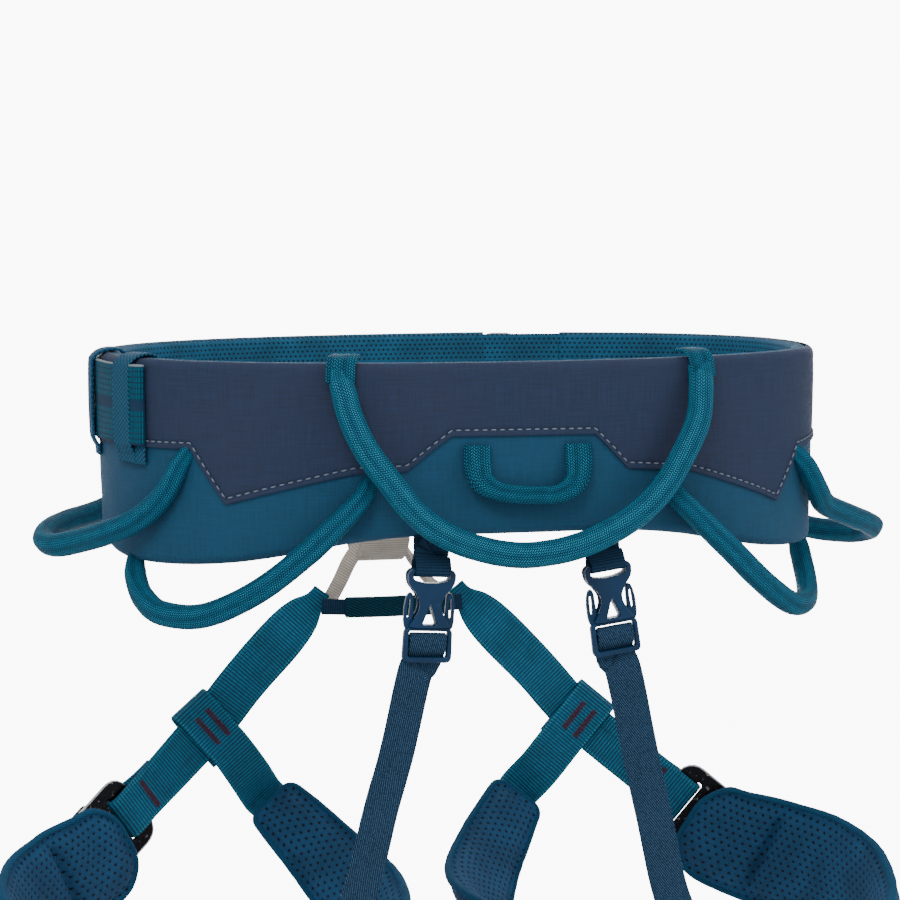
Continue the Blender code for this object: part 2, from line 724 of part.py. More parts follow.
def rear_buckles(mats):
    for side, label in ((-1, "left"), (1, "right")):
        origin = mirrored(REAR_BUCKLE, side)
        down = mirrored(REAR_BUCKLE_DOWN, side).normalized()
        out = Vector((0, -1, 0))
        out = (out - down * out.dot(down)).normalized()
        across = Vector((side, 0, 0))
        across = (across - down * across.dot(down) - out * across.dot(out)).normalized()

        def place(w, d, n):
            return origin + across * w + down * d + out * n

        def place_plate(u, h, w):
            return place(w, u, h)

        socket = extruded_outline(
            f"rear_buckle_socket_{label}", [both_sides(FEMALE_SIDE), both_sides(SOCKET_SLOT), SOCKET_WINDOW],
            -SOCKET_HALF_DEPTH, SOCKET_HALF_DEPTH, place, mats["buckle_plastic"])
        cutter = bmesh.new()
        for sign in (-1, 1):
            loft(cutter, [[place(w * sign, d, n) for w, d in CHANNEL]
                          for n in (-CHANNEL_HALF_DEPTH, CHANNEL_HALF_DEPTH)])
        cut(socket, finish_mesh(f"rear_buckle_channel_{label}", cutter, mats["buckle_plastic"]))

        plate_with_slots(f"rear_buckle_plug_{label}", PLUG_DS, PLUG_WS, {(1, 1)}, -PLUG_HALF_DEPTH,
                         PLUG_HALF_DEPTH, place_plate, mats["buckle_plastic"], origin)
        for sign, hand in ((-1, "inner"), (1, "outer")):
            loops = [[(w * sign, d) for w, d in loop] for loop in (PRONG, PRONG_HOLE)]
            hinge_w, hinge_d = PRONG_HINGE
            extruded_outline(f"rear_buckle_prong_{hand}_{label}", loops, -PRONG_HALF_DEPTH, PRONG_HALF_DEPTH,
                             place, mats["buckle_plastic"], place(sign * hinge_w, hinge_d, 0))

        # webbing from under the belt, round the socket's top bar and back up
        theta = side * REAR_WEBBING_THETA
        webbing = [(ring(theta, shift, z), ring_normal(theta)) for shift, z in REAR_WEBBING_TOP]
        webbing += [
            (place(0, -22.0, 0.6), out), (place(0, -16.0, 4.2), out), (place(0, -12.6, 4.0), (out + down) / 2),
            (place(0, -10.9, 1.6), down), (place(0, -10.9, -1.6), down),
            (place(0, -12.6, -4.0), (down - out) / 2), (place(0, -16.0, -4.2), -out),
            (place(0, -23.0, -1.6), -out), (place(0, -29.0, -1.5), -out),
        ]
        strap(f"rear_webbing_{label}", webbing, 16.0, 1.2, mats["dark_webbing"], 30)

        # elastic from the plug's slot down to the back of the leg loop
        low = mirrored(LOWER_ATTACH, side)
        rear = Vector((side * -0.1, -1, 0)).normalized()
        elastic = [
            (place(0, 38.0, -2.2), -out), (place(0, 30.0, -2.4), -out), (place(0, 23.5, -3.7), -out),
            (place(0, 19.4, -3.1), (-out - down) / 2), (place(0, 17.8, 0), -down),
            (place(0, 19.4, 3.1), (out - down) / 2), (place(0, 24.0, 3.7), out), (place(0, 31.0, 1.6), out),
            (place(0.5, 44.0, 0.6), out), (mirrored((61.0, -92.0, -148.0), side), rear),
            (mirrored((76.5, -87.0, -203.0), side), rear), (low + Vector((0, -7.6, 18)), rear),
            (low + Vector((0, -7.6, -6.0)), rear),
        ]
        strap(f"rear_elastic_{label}", elastic, ELASTIC_WIDTH, ELASTIC_THICK, mats["elastic"], 44)


# ---------------------------------------------------------------- leg loops

# centre line of the right pad from its inner tip round the back to its outer tip, and its half width
LEG_PAD = (
    (64, 110, -193, 14), (56, 101, -201, 18.5), (41, 80, -217, 22), (29, 48, -233, 26), (27, 10, -248, 30),
    (37, -28, -264, 33), (60, -57, -277, 35), (97, -74, -285, 35.5), (140, -74, -283, 35.5),
    (180, -58, -272, 35), (206, -30, -258, 34), (214, 6, -243, 33), (207, 40, -229, 31), (190, 64, -217, 28),
    (172, 76, -208.5, 25), (160, 82, -202, 21), (151, 86.3, -196, 14),
)
PAD_STEPS = 28
LEG_BUCKLE_WIDTH = 33.0
LEG_BUCKLE_SCALE = 0.8
# the riser's middle line from the tie-in foot: point and width
RISER_FOOT = (
    ((38.5, 122.0, -92.0), 10.0), ((45.0, 121.5, -98.5), 19.0), ((55.0, 120.6, -108.8), RISER_WIDTH),
    ((75.0, 118.8, -129.5), RISER_WIDTH),
)
# the sewn-back end of the riser, behind the buckle's bar
RISER_END = ((22, 6.4), (32, 4.0), (40, 3.6))
# the leg strap round the riser: distance down the strap, side of the riser, and the normal there
WRAP = (
    (17, 3.3, 0, -1), (6, 3.3, 0, -1), (-10, 3.3, 0, -1), (-13.8, 2.4, 1, -0.4), (-15.0, 0, 1, 0),
    (-13.8, -2.4, 1, 0.4), (-10, -3.3, 0, 1), (6, -3.3, 0, 1), (16, -3.3, 0, 1),
)
LEG_KEEPER_RISE = ((-17, 6.2), (-13.5, 7.8), (-11.5, 8.8), (0, 8.9), (11.5, 8.8), (13.5, 7.8), (17, 6.2))
LEG_KEEPER_WIDTH = 9.0


def leg_pad_frames(side):
    """Points, outward normals, width directions and half widths along the pad."""
    rows = spline(LEG_PAD, PAD_STEPS)
    points = [Vector(r[:3]) for r in rows]
    frames = []
    for point, along, row in zip(points, tangents(points), rows):
        up = Vector((0, 0, 1))
        up = (up - along * up.dot(along)).normalized()
        out = up.cross(along).normalized()
        if out.dot(point - Vector((122, 21, point.z))) < 0:
            out = -out
        frames.append((mirrored(point, side), mirrored(out, side), mirrored(up, side), row[3]))
    return frames


def pad_layer(name, frames, layer, inset, mat, pivot, split_face=None):
    """One layer of the pad; the split face has edges along the strap that lies on it."""
    bm = bmesh.new()
    low, high = layer
    strip = LEG_STRAP_WIDTH / 2
    sections = []
    for point, out, up, half in frames:
        w = half - inset
        split = [-w, -min(strip, w - 1), min(strip, w - 1), w]
        inner = split if split_face == "both" else [-w, w]
        outer = split if split_face else [-w, w]
        sections.append([point + up * k + out * low for k in reversed(inner)]
                        + [point + up * k + out * high for k in outer])
    loft(bm, sections)
    finish_mesh(name, bm, mat, pivot)


def spline_sections(controls, width, thick):
    rows = spline([tuple(p) + tuple(n) for p, n in controls], 0)
    rows = rows[:-1:5] + [rows[-1]]
    points = [Vector(r[:3]) for r in rows]
    return ribbon_sections(points, [Vector(r[3:6]) for r in rows], [width] * len(rows), thick)


def pad_strap_sections(frames, lifts, facing=1):
    """Sections of the leg strap that keep to the pad's own sections."""
    points = [f[0] for f in frames]
    sections = []
    for along, lift, (point, out, up, _) in zip(tangents(points), lifts, frames):
        side = up if along.cross(out * facing).dot(up) > 0 else -up
        centre = point + out * lift
        w = side * (LEG_STRAP_WIDTH / 2)
        n = out * (facing * LEG_STRAP_THICK / 2)
        sections.append((centre - w - n, centre + w - n, centre + w + n, centre - w + n))
    return sections


def leg_loop(side, label, mats):
    pivot = mirrored(TIE_IN_FOOT, side)
    frames = leg_pad_frames(side)
    pad_layer(f"leg_liner_{label}", frames, LEG_LINER, 0.0, mats["mesh_fabric"], pivot)
    pad_layer(f"leg_foam_{label}", frames, LEG_FOAM, 1.0, mats["foam"], pivot, "outer")
    pad_layer(f"leg_shell_{label}", frames[1:-2], LEG_SHELL, 0.0, mats["mesh_fabric"], pivot, "both")

    # buckle frame of reference
    centre = mirrored(LEG_BUCKLE, side)
    junction = mirrored(LEG_JUNCTION, side)
    along = (junction - centre).normalized()
    out = Vector((side * 0.393, 0.92, 0))
    out = (out - along * out.dot(along)).normalized()
    place, direction = buckle_place(centre - out * 1.2, along, out, LEG_BUCKLE_SCALE)
    two_plate_buckle(f"leg_buckle_{label}", place, LEG_BUCKLE_WIDTH, mats["black_metal"], place(*SLIDER_HINGE))

    # riser: tie-in foot, past the junction, round the frame's bar and sewn back on itself
    front = Vector((0, 1, 0))
    near_junction = (place(32, 1.2, 0) - mirrored(RISER_FOOT[-1][0], side)).normalized()
    across_riser = (front - near_junction * front.dot(near_junction)).normalized()
    controls = [(mirrored(p, side), front, width) for p, width in RISER_FOOT]
    controls.append((junction, across_riser, RISER_WIDTH))
    controls += [(p, n, RISER_WIDTH) for p, n in route(ANCHOR_ROUTE, place, direction)]
    controls += [(place(u, h, 0), -out, RISER_WIDTH) for u, h in RISER_END]
    strap(f"leg_riser_{label}", controls, RISER_WIDTH, RISER_THICK, mats["webbing"], 54, pivot)

    # leg strap: sewn round the riser, down into the pad, round the leg, through the buckle
    tip = mirrored(LEG_PAD[0][:3], side) + frames[0][1] * LEG_WEB
    down = (tip - junction).normalized()
    down = (down - across_riser * down.dot(across_riser)).normalized()
    entry = (frames[1][0] - frames[0][0]).normalized()
    controls = [(junction + down * k + across_riser * lift, down * nd + across_riser * nr)
                for k, lift, nd, nr in WRAP]
    controls += [
        (junction.lerp(tip, 0.65) - across_riser, frames[0][1]),
        (tip - entry * 7 + frames[0][1] * 2.5, frames[0][1]),
    ]
    sections = spline_sections(controls, LEG_STRAP_WIDTH, LEG_STRAP_THICK)
    inside = frames[:-2]
    sections += pad_strap_sections(inside, [LEG_WEB + 0.8] + [LEG_WEB] * (len(inside) - 1))
    point, normal, _, _ = frames[-2]
    controls = [(point + normal * 5.8, normal)] + route(STRAP_ROUTE[1:], place, direction)
    controls.append((point + normal * 15.4, -normal))
    tail = list(reversed(frames[-6:-2]))
    sections += spline_sections(controls, LEG_STRAP_WIDTH, LEG_STRAP_THICK)
    sections += pad_strap_sections(tail, TAIL_LIFTS, -1)
    bm = bmesh.new()
    loft(bm, sections)
    finish_mesh(f"leg_strap_{label}", bm, mats["webbing"], pivot)

    # elastic keeper over the free end
    point, normal, up, _ = frames[-5]
    controls = [(point + up * w + normal * lift, normal) for w, lift in LEG_KEEPER_RISE]
    strap(f"leg_keeper_{label}", controls, LEG_KEEPER_WIDTH, 1.0, mats["elastic"], 10, pivot)


# ---------------------------------------------------------------- build

def make_materials():
    return {
        "navy_fabric": material("navy_fabric", (0.025, 0.043, 0.098), 0.8),
        "teal_fabric": material("teal_fabric", (0.014, 0.08, 0.162), 0.8),
        "mesh_fabric": material("mesh_fabric", (0.018, 0.13, 0.26), 0.85),
        "foam": material("foam", (0.04, 0.05, 0.06), 0.9),
        "webbing": material("webbing", (0.009, 0.15, 0.26), 0.7),
        "strap_webbing": material("strap_webbing", (0.012, 0.08, 0.14), 0.7),
        "dark_webbing": material("dark_webbing", (0.01, 0.06, 0.11), 0.7),
        "elastic": material("elastic", (0.016, 0.06, 0.14), 0.8),
        "tie_in_webbing": material("tie_in_webbing", (0.5, 0.45, 0.4), 0.8),
        "braid": material("braid", (0.005, 0.1, 0.19), 0.6),
        "buckle_plastic": material("buckle_plastic", (0.014, 0.05, 0.12), 0.4),
        "black_metal": material("black_metal", (0.02, 0.02, 0.022), 0.35, 1.0),
    }


def main():
    clear_scene()
    mats = make_materials()
    angles = waist_belt(mats)
    waist_strap_and_buckle(mats, angles)
    waist_keepers(mats)
    tie_in(mats)
    belay_loop(mats)
    gear_loops(mats)
    haul_loop(mats)
    rear_buckles(mats)
    for side, label in ((-1, "left"), (1, "right")):
        leg_loop(side, label, mats)


main()
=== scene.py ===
"""Climbing harness: the fine surface, materials, floor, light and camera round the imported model.

Lengths in this script are millimetres until a mesh is made, where MM turns them into metres.
"""

from math import cos, pi, radians, sin

import bmesh
import bpy
import numpy as np
from mathutils import Matrix, Vector


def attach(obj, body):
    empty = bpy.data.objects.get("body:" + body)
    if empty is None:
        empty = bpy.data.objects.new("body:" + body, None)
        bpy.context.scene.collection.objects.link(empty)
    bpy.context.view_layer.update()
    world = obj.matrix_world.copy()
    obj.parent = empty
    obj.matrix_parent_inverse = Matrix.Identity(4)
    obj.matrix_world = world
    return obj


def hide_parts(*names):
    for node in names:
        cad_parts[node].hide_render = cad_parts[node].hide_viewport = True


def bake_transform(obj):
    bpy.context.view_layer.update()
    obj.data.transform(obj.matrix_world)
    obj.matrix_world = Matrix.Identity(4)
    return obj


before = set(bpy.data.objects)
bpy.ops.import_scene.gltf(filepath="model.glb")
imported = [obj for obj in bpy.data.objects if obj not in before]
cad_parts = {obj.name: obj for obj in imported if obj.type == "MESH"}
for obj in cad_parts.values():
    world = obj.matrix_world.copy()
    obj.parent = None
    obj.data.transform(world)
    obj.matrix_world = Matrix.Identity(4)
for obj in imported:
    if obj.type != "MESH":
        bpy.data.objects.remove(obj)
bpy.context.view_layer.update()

MM = 0.001
ROOT = "harness"
SIDES = ((-1, "left"), (1, "right"))


# ---------------------------------------------------------------- numbers and curves

def interpolate(knots, t):
    """A smooth curve through (t, value) knots."""
    last = len(knots) - 1
    i = min(max(k for k in range(last + 1) if k == 0 or knots[k][0] <= t), last - 1)
    (t0, v0), (t1, v1) = knots[i], knots[i + 1]
    before = knots[max(i - 1, 0)]
    after = knots[min(i + 2, last)]
    slope0 = (v1 - before[1]) / (t1 - before[0]) if t1 > before[0] else 0.0
    slope1 = (after[1] - v0) / (after[0] - t0)
    span = t1 - t0
    s = (t - t0) / span
    return (
        v0 * (2 * s**3 - 3 * s**2 + 1)
        + slope0 * span * (s**3 - 2 * s**2 + s)
        + v1 * (3 * s**2 - 2 * s**3)
        + slope1 * span * (s**3 - s**2)
    )


def knots(table, t):
    """Straight lines through (t, value) knots."""
    return float(np.interp(t, [k[0] for k in table], [k[1] for k in table]))


def unit(v):
    v = np.asarray(v, float)
    return v / np.maximum(np.linalg.norm(v, axis=-1, keepdims=True), 1e-9)


def arc_lengths(points):
    steps = np.linalg.norm(np.diff(points, axis=0), axis=1)
    return np.concatenate(([0.0], np.cumsum(steps)))


def resample(rows, pitch):
    """Rows along a curve, put at equal steps of about the pitch."""
    rows = np.asarray(rows, float)
    lengths = arc_lengths(rows[:, :3])
    count = max(2, int(round(lengths[-1] / pitch)) + 1)
    at = np.linspace(0, lengths[-1], count)
    return np.stack([np.interp(at, lengths, rows[:, k]) for k in range(rows.shape[1])], axis=1)


def spline(controls, pitch):
    """Catmull-Rom through the control tuples, resampled at the pitch."""
    c = np.asarray(controls, float)
    c = np.vstack((c[:1], c, c[-1:]))
    rows = []
    for i in range(1, len(c) - 2):
        p0, p1, p2, p3 = c[i - 1], c[i], c[i + 1], c[i + 2]
        for t in np.linspace(0, 1, 24, endpoint=False):
            rows.append(0.5 * (2 * p1 + (p2 - p0) * t + (2 * p0 - 5 * p1 + 4 * p2 - p3) * t**2
                               + (3 * p1 - p0 - 3 * p2 + p3) * t**3))
    rows.append(c[-1])
    return resample(rows, pitch)


def circle(count):
    """Equal angles once round."""
    return np.linspace(0, 2 * pi, count + 1)[:-1]


def oval(angles, a, b):
    return np.stack((np.cos(angles) * a, np.sin(angles) * b), axis=1)


def tangents(points, closed=False):
    if closed:
        return unit(np.roll(points, -1, axis=0) - np.roll(points, 1, axis=0))
    return unit(np.gradient(points, axis=0))


def hash_noise(*coordinates):
    """Smooth value noise from -1 to 1 on numpy arrays."""
    x, y, z = [np.asarray(c, float) for c in np.broadcast_arrays(*(list(coordinates) + [0.0])[:3])]
    cell = [np.floor(c) for c in (x, y, z)]
    local = [c - f for c, f in zip((x, y, z), cell)]
    local = [f * f * (3 - 2 * f) for f in local]
    total = np.zeros(x.shape)
    for i in (0, 1):
        for j in (0, 1):
            for k in (0, 1):
                seed = (cell[0] + i) * 127.1 + (cell[1] + j) * 311.7 + (cell[2] + k) * 74.7
                value = np.modf(np.abs(np.sin(seed) * 43758.5453))[0] * 2 - 1
                weight = np.ones(x.shape)
                for bit, f in zip((i, j, k), local):
                    weight = weight * (f if bit else 1 - f)
                total = total + value * weight
    return total


# ---------------------------------------------------------------- meshes

def make_object(name, verts, faces, uvs, material, body, replaces=()):
    """A piece from millimetre vertices, faces and one UV, in millimetres, for each face corner."""
    mesh = bpy.data.meshes.new(name)
    mesh.from_pydata([tuple(v) for v in np.asarray(verts) * MM], [], faces)
    layer = mesh.uv_layers.new(name="cloth")
    layer.data.foreach_set("uv", np.asarray(uvs, np.float32).ravel())
    mesh.materials.append(material)
    mesh.shade_smooth()
    obj = bpy.data.objects.new(name, mesh)
    bpy.context.scene.collection.objects.link(obj)
    fix_normals(mesh)
    if body:
        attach(obj, body)
    if replaces:
        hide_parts(*replaces)
    return obj


def fix_normals(mesh):
    bm = bmesh.new()
    bm.from_mesh(mesh)
    bmesh.ops.recalc_face_normals(bm, faces=bm.faces)
    bm.to_mesh(mesh)
    bm.free()


class Parts:
    """Vertices, faces and UVs of several closed shapes that make one piece."""

    def __init__(self):
        self.verts = []
        self.faces = []
        self.uvs = []
        self.count = 0

    def loft(self, sections, u, v, wrap=0.0, closed=False):
        """sections is (rows, points, 3); u is (rows,) or (rows, points), v is (points,) or the same."""
        sections = np.asarray(sections, float)
        rows, size = sections.shape[:2]
        u = np.broadcast_to(np.asarray(u, float).reshape(rows, -1), (rows, size))
        v = np.broadcast_to(np.asarray(v, float).reshape(-1, size), (rows, size))
        base = self.count
        self.verts.append(sections.reshape(-1, 3))
        self.count += rows * size
        pairs = [(i, i + 1, 0.0) for i in range(rows - 1)]
        if closed:
            step = np.linalg.norm(sections[0] - sections[-1], axis=1).mean()
            pairs.append((rows - 1, 0, u[-1].mean() + step))
        for a, b, lap in pairs:
            for i in range(size):
                j = (i + 1) % size
                self.faces.append((base + a * size + i, base + a * size + j,
                                   base + b * size + j, base + b * size + i))
                more = wrap if j == 0 else 0.0
                self.uvs += [(u[a, i], v[a, i]), (u[a, j], v[a, j] + more),
                             (u[b, j] + lap, v[b, j] + more), (u[b, i] + lap, v[b, i])]
        if not closed:
            for row in (0, rows - 1):
                half = size // 2
                for i in range(half - 1):
                    ring = (i, i + 1, size - 2 - i, size - 1 - i)
                    self.faces.append(tuple(base + row * size + k for k in ring))
                    self.uvs += [(u[row, k], v[row, k]) for k in ring]
        return self

    def piece(self, name, material, body, slot, replaces=()):
        return make_object(name, np.vstack(self.verts), self.faces, self.uvs, material, body, replaces)


def strap_profile(width, thick, across=10, edge=3):
    """A rounded flat section as (side, out) pairs, symmetrical so its ends can be closed in strips."""
    radius = thick / 2
    flat = width / 2 - radius
    top = [(s, radius) for s in np.linspace(-flat, flat, across)]
    bend = [(flat + radius * cos(a), radius * sin(a)) for a in np.linspace(pi / 2, 0, edge + 1)[1:]]
    upper = [(-s, o) for s, o in reversed(bend)] + top + bend
    lower = [(s, -o) for s, o in reversed(upper)]
    # the two outermost points are shared by the upper and lower rows
    lower = [(s * 0.999, min(o, -0.02 * radius)) for s, o in lower]
    return np.array(upper + lower)


def sweep(points, normals, profile, closed=False):
    """Sections along the points; profile is (points, 2), or (rows, points, 2)."""
    along = tangents(points, closed)
    side = unit(np.cross(along, normals))
    out = unit(np.cross(side, along))
    profile = np.asarray(profile, float)
    if profile.ndim == 2:
        profile = np.broadcast_to(profile, (len(points),) + profile.shape)
    return (points[:, None, :] + side[:, None, :] * profile[:, :, :1] + out[:, None, :] * profile[:, :, 1:])


def ribs(u, pitch, height):
    """Round ribs across a strap: their height at each distance along it."""
    return height * (np.abs(np.cos(pi * u / pitch)) ** 0.7 - 0.5)


def ribbed_strap(points, normals, width, thick, pitch=1.6, rib=0.16, closed=False, widths=None):
    """Sections and u of a strap with woven ribs across it."""
    u = arc_lengths(points)
    profile = strap_profile(width, thick)
    rows = np.repeat(profile[None], len(points), axis=0)
    lift = ribs(u, pitch, rib)
    rows[:, :, 1] += np.sign(rows[:, :, 1]) * lift[:, None]
    if widths is not None:
        rows[:, :, 0] *= (np.asarray(widths) / width)[:, None]
    # the edge of real webbing is never quite straight
    rows[:, :, 0] *= 1 + 0.006 * hash_noise(u / 9.0, 3.1)[:, None]
    return sweep(points, normals, rows, closed), u, profile[:, 0]


def stitches(points, normals, length, pitch, thick, sink=0.15):
    """A row of sewn stitches along the points, each a small spindle that dips in at both ends."""
    parts = Parts()
    lengths = arc_lengths(points)
    count = int(lengths[-1] / pitch)
    start = (lengths[-1] - count * pitch + pitch - length) / 2
    turns = circle(8)
    for k in range(count):
        at = start + k * pitch + length * np.array((0.0, 0.12, 0.35, 0.65, 0.88, 1.0))
        p = np.stack([np.interp(at, lengths, points[:, i]) for i in range(3)], axis=1)
        n = unit(np.stack([np.interp(at, lengths, normals[:, i]) for i in range(3)], axis=1))
        rise = np.array((-1.0, 0.1, 0.6, 0.6, 0.1, -1.0)) * thick * 0.5 - sink
        fat = np.array((0.35, 0.85, 1.0, 1.0, 0.85, 0.35)) * thick / 2
        rows = sweep(p + n * rise[:, None], n, oval(turns, 1, 1)[None] * fat[:, None, None])
        parts.loft(rows, at - at[0], turns * thick / 2, pi * thick)
    return parts


# ---------------------------------------------------------------- materials

# every colour is multiplied by this: the room is bright, and the harness is dark against it
TONE = 0.55


class V:
    """A value in a material's node tree, with arithmetic."""

    def __init__(self, tree, socket):
        self.tree = tree
        self.socket = socket

    def op(self, operation, *others):
        node = self.tree.nodes.new("ShaderNodeMath")
        node.operation = operation
        for slot, value in zip(node.inputs, (self,) + others):
            if isinstance(value, V):
                self.tree.links.new(value.socket, slot)
            else:
                slot.default_value = value
        return V(self.tree, node.outputs[0])

    def __add__(self, other):
        return self.op("ADD", other)

    def __sub__(self, other):
        return self.op("SUBTRACT", other)

    def __mul__(self, other):
        return self.op("MULTIPLY", other)

    def __rsub__(self, other):
        return (self * -1.0) + other

    __radd__ = __add__
    __rmul__ = __mul__

    def __truediv__(self, other):
        return self.op("DIVIDE", other)

    def sin(self):
        return self.op("SINE")

    def abs(self):
        return self.op("ABSOLUTE")

    def fract(self):
        return self.op("FRACT")

    def floor(self):
        return self.op("FLOOR")

    def power(self, other):
        return self.op("POWER", other)

    def ramp(self, low, high):
        """0 below low, 1 above high, smooth between; high may be the lower of the two."""
        node = self.tree.nodes.new("ShaderNodeMapRange")
        node.interpolation_type = "SMOOTHSTEP"
        self.tree.links.new(self.socket, node.inputs["Value"])
        turned = high < low
        node.inputs["From Min"].default_value = min(low, high)
        node.inputs["From Max"].default_value = max(low, high)
        node.inputs["To Min"].default_value = 1.0 if turned else 0.0
        node.inputs["To Max"].default_value = 0.0 if turned else 1.0
        return V(self.tree, node.outputs["Result"])


class Cloth:
    """A material under construction: coordinates, noise, colour mixing and the shader."""

    def __init__(self, name, roughness, metallic=0.0, sheen=0.0, sheen_tint=(1, 1, 1), coat=0.0, specular=0.5,
                 tone=TONE):
        self.tone = tone
        self.material = bpy.data.materials.new(name)
        self.material.use_nodes = True
        self.tree = self.material.node_tree
        self.shader = self.tree.nodes["Principled BSDF"]
        self.set("Roughness", roughness)
        self.set("Metallic", metallic)
        self.set("Sheen Weight", sheen * 0.25)
        self.set("Sheen Roughness", 0.4)
        self.set("Sheen Tint", (*sheen_tint, 1.0))
        self.set("Coat Weight", coat)
        self.set("Specular IOR Level", specular)
        pin = self.tree.nodes.new("ShaderNodeUVMap")
        pin.uv_map = "cloth"
        split = self.tree.nodes.new("ShaderNodeSeparateXYZ")
        self.tree.links.new(pin.outputs["UV"], split.inputs[0])
        self.u = V(self.tree, split.outputs["X"])
        self.v = V(self.tree, split.outputs["Y"])

    def set(self, name, value):
        self.shader.inputs[name].default_value = value

    def noise(self, scale, detail=2.0, stretch=(1.0, 1.0), solid=False, offset=0.0):
        """Noise about 0.5; on the cloth's millimetres, or solid in the object's metres."""
        tree = self.tree
        node = tree.nodes.new("ShaderNodeTexNoise")
        node.inputs["Detail"].default_value = detail
        node.inputs["Scale"].default_value = scale
        if solid:
            source = tree.nodes.new("ShaderNodeTexCoord").outputs["Object"]
            tree.links.new(source, node.inputs["Vector"])
        else:
            join = tree.nodes.new("ShaderNodeCombineXYZ")
            tree.links.new((self.u * stretch[0] + offset).socket, join.inputs[0])
            tree.links.new((self.v * stretch[1]).socket, join.inputs[1])
            tree.links.new(join.outputs[0], node.inputs["Vector"])
        return V(tree, node.outputs["Fac"])

    def ground(self, dark, light, scale, detail=3.0, **more):
        """A broad, slow drift between two colours."""
        return self.mix(self.noise(scale, detail, **more).ramp(0.3, 0.7), dark, light)

    def mix(self, factor, a, b):
        """Colour between a and b, each a colour tuple or an earlier mix."""
        node = self.tree.nodes.new("ShaderNodeMix")
        node.data_type = "RGBA"
        self.tree.links.new(factor.socket, node.inputs[0])
        for slot, value in ((node.inputs[6], a), (node.inputs[7], b)):
            if isinstance(value, tuple):
                slot.default_value = (*[c * self.tone for c in value], 1.0)
            else:
                self.tree.links.new(value, slot)
        return node.outputs[2]

    def finish(self, colour, height=None, depth=0.3, roughness=None):
        """Connect the colour, the bump in millimetres and a varying roughness."""
        self.tree.links.new(colour, self.shader.inputs["Base Color"])
        if roughness is not None:
            self.tree.links.new(roughness.socket, self.shader.inputs["Roughness"])
        if height is not None:
            bump = self.tree.nodes.new("ShaderNodeBump")
            bump.inputs["Strength"].default_value = 1.0
            bump.inputs["Distance"].default_value = depth * MM
            self.tree.links.new(height.socket, bump.inputs["Height"])
            self.tree.links.new(bump.outputs[0], self.shader.inputs["Normal"])
        return self.material


def shade(colour, factor):
    return tuple(min(1.0, c * factor) for c in colour)


def wave(value, pitch, phase=0.0):
    """From 0 to 1 and back once each pitch."""
    return (value * (2 * pi / pitch) + phase).sin() * 0.5 + 0.5


def shell_fabric(name, colour, warm):
    """Plain-woven shell cloth with slubs along both threads."""
    cloth = Cloth(name, 0.78, sheen=0.25, sheen_tint=shade(colour, 5.0), specular=0.3)
    warp = wave(cloth.u, 0.62)
    weft = wave(cloth.v, 0.62)
    weave = warp * weft + (1 - warp) * (1 - weft)
    slub_u = cloth.noise(1.0, 2.0, (0.06, 1.7))
    slub_v = cloth.noise(1.0, 2.0, (1.7, 0.06), offset=31.0)
    base = cloth.ground(colour, warm, 0.018)
    base = cloth.mix((slub_u * 0.5 + slub_v * 0.5).ramp(0.36, 0.66), base, shade(colour, 1.35))
    base = cloth.mix(weave.ramp(0.55, 0.05) * 0.35, base, shade(colour, 0.5))
    return cloth.finish(base, weave * 0.6 + slub_u * 0.5 + slub_v * 0.5, 0.22)


def mesh_fabric(name, colour, pitch=(4.2, 3.3), hole=0.55, rim=1.1, dark=0.06):
    """Knitted spacer mesh with staggered rows of small holes."""
    cloth = Cloth(name, 0.85, sheen=0.3, sheen_tint=shade(colour, 3.5), specular=0.25)
    row = cloth.v / pitch[1]
    odd = (row.floor() * 0.5).fract()
    du = ((cloth.u / pitch[0] + odd).fract() - 0.5) * pitch[0]
    dv = (row.fract() - 0.5) * pitch[1]
    away = (du * du + dv * dv * 1.4).power(0.5)
    wobble = (cloth.noise(0.8, 2.0) - 0.5) * 0.35
    opening = (away + wobble).ramp(hole + 0.28, hole - 0.12)
    dimple = (away + wobble).ramp(hole + rim, hole + 0.1)
    knit = wave(cloth.u, 0.8) * 0.5 + wave(cloth.v + cloth.u * 0.5, 0.7) * 0.5
    grain = cloth.noise(2.2, 2.0)
    base = cloth.ground(shade(colour, 0.8), shade(colour, 1.25), 0.05)
    base = cloth.mix(knit.ramp(0.6, 0.1) * 0.6, base, shade(colour, 0.38))
    base = cloth.mix(grain.ramp(0.5, 0.75) * 0.6, base, shade(colour, 1.9))
    base = cloth.mix(dimple * 0.35, base, shade(colour, 0.5))
    base = cloth.mix(opening, base, shade(colour, dark))
    return cloth.finish(base, knit * 0.35 - dimple * 0.6 - opening * 1.6, 0.4)


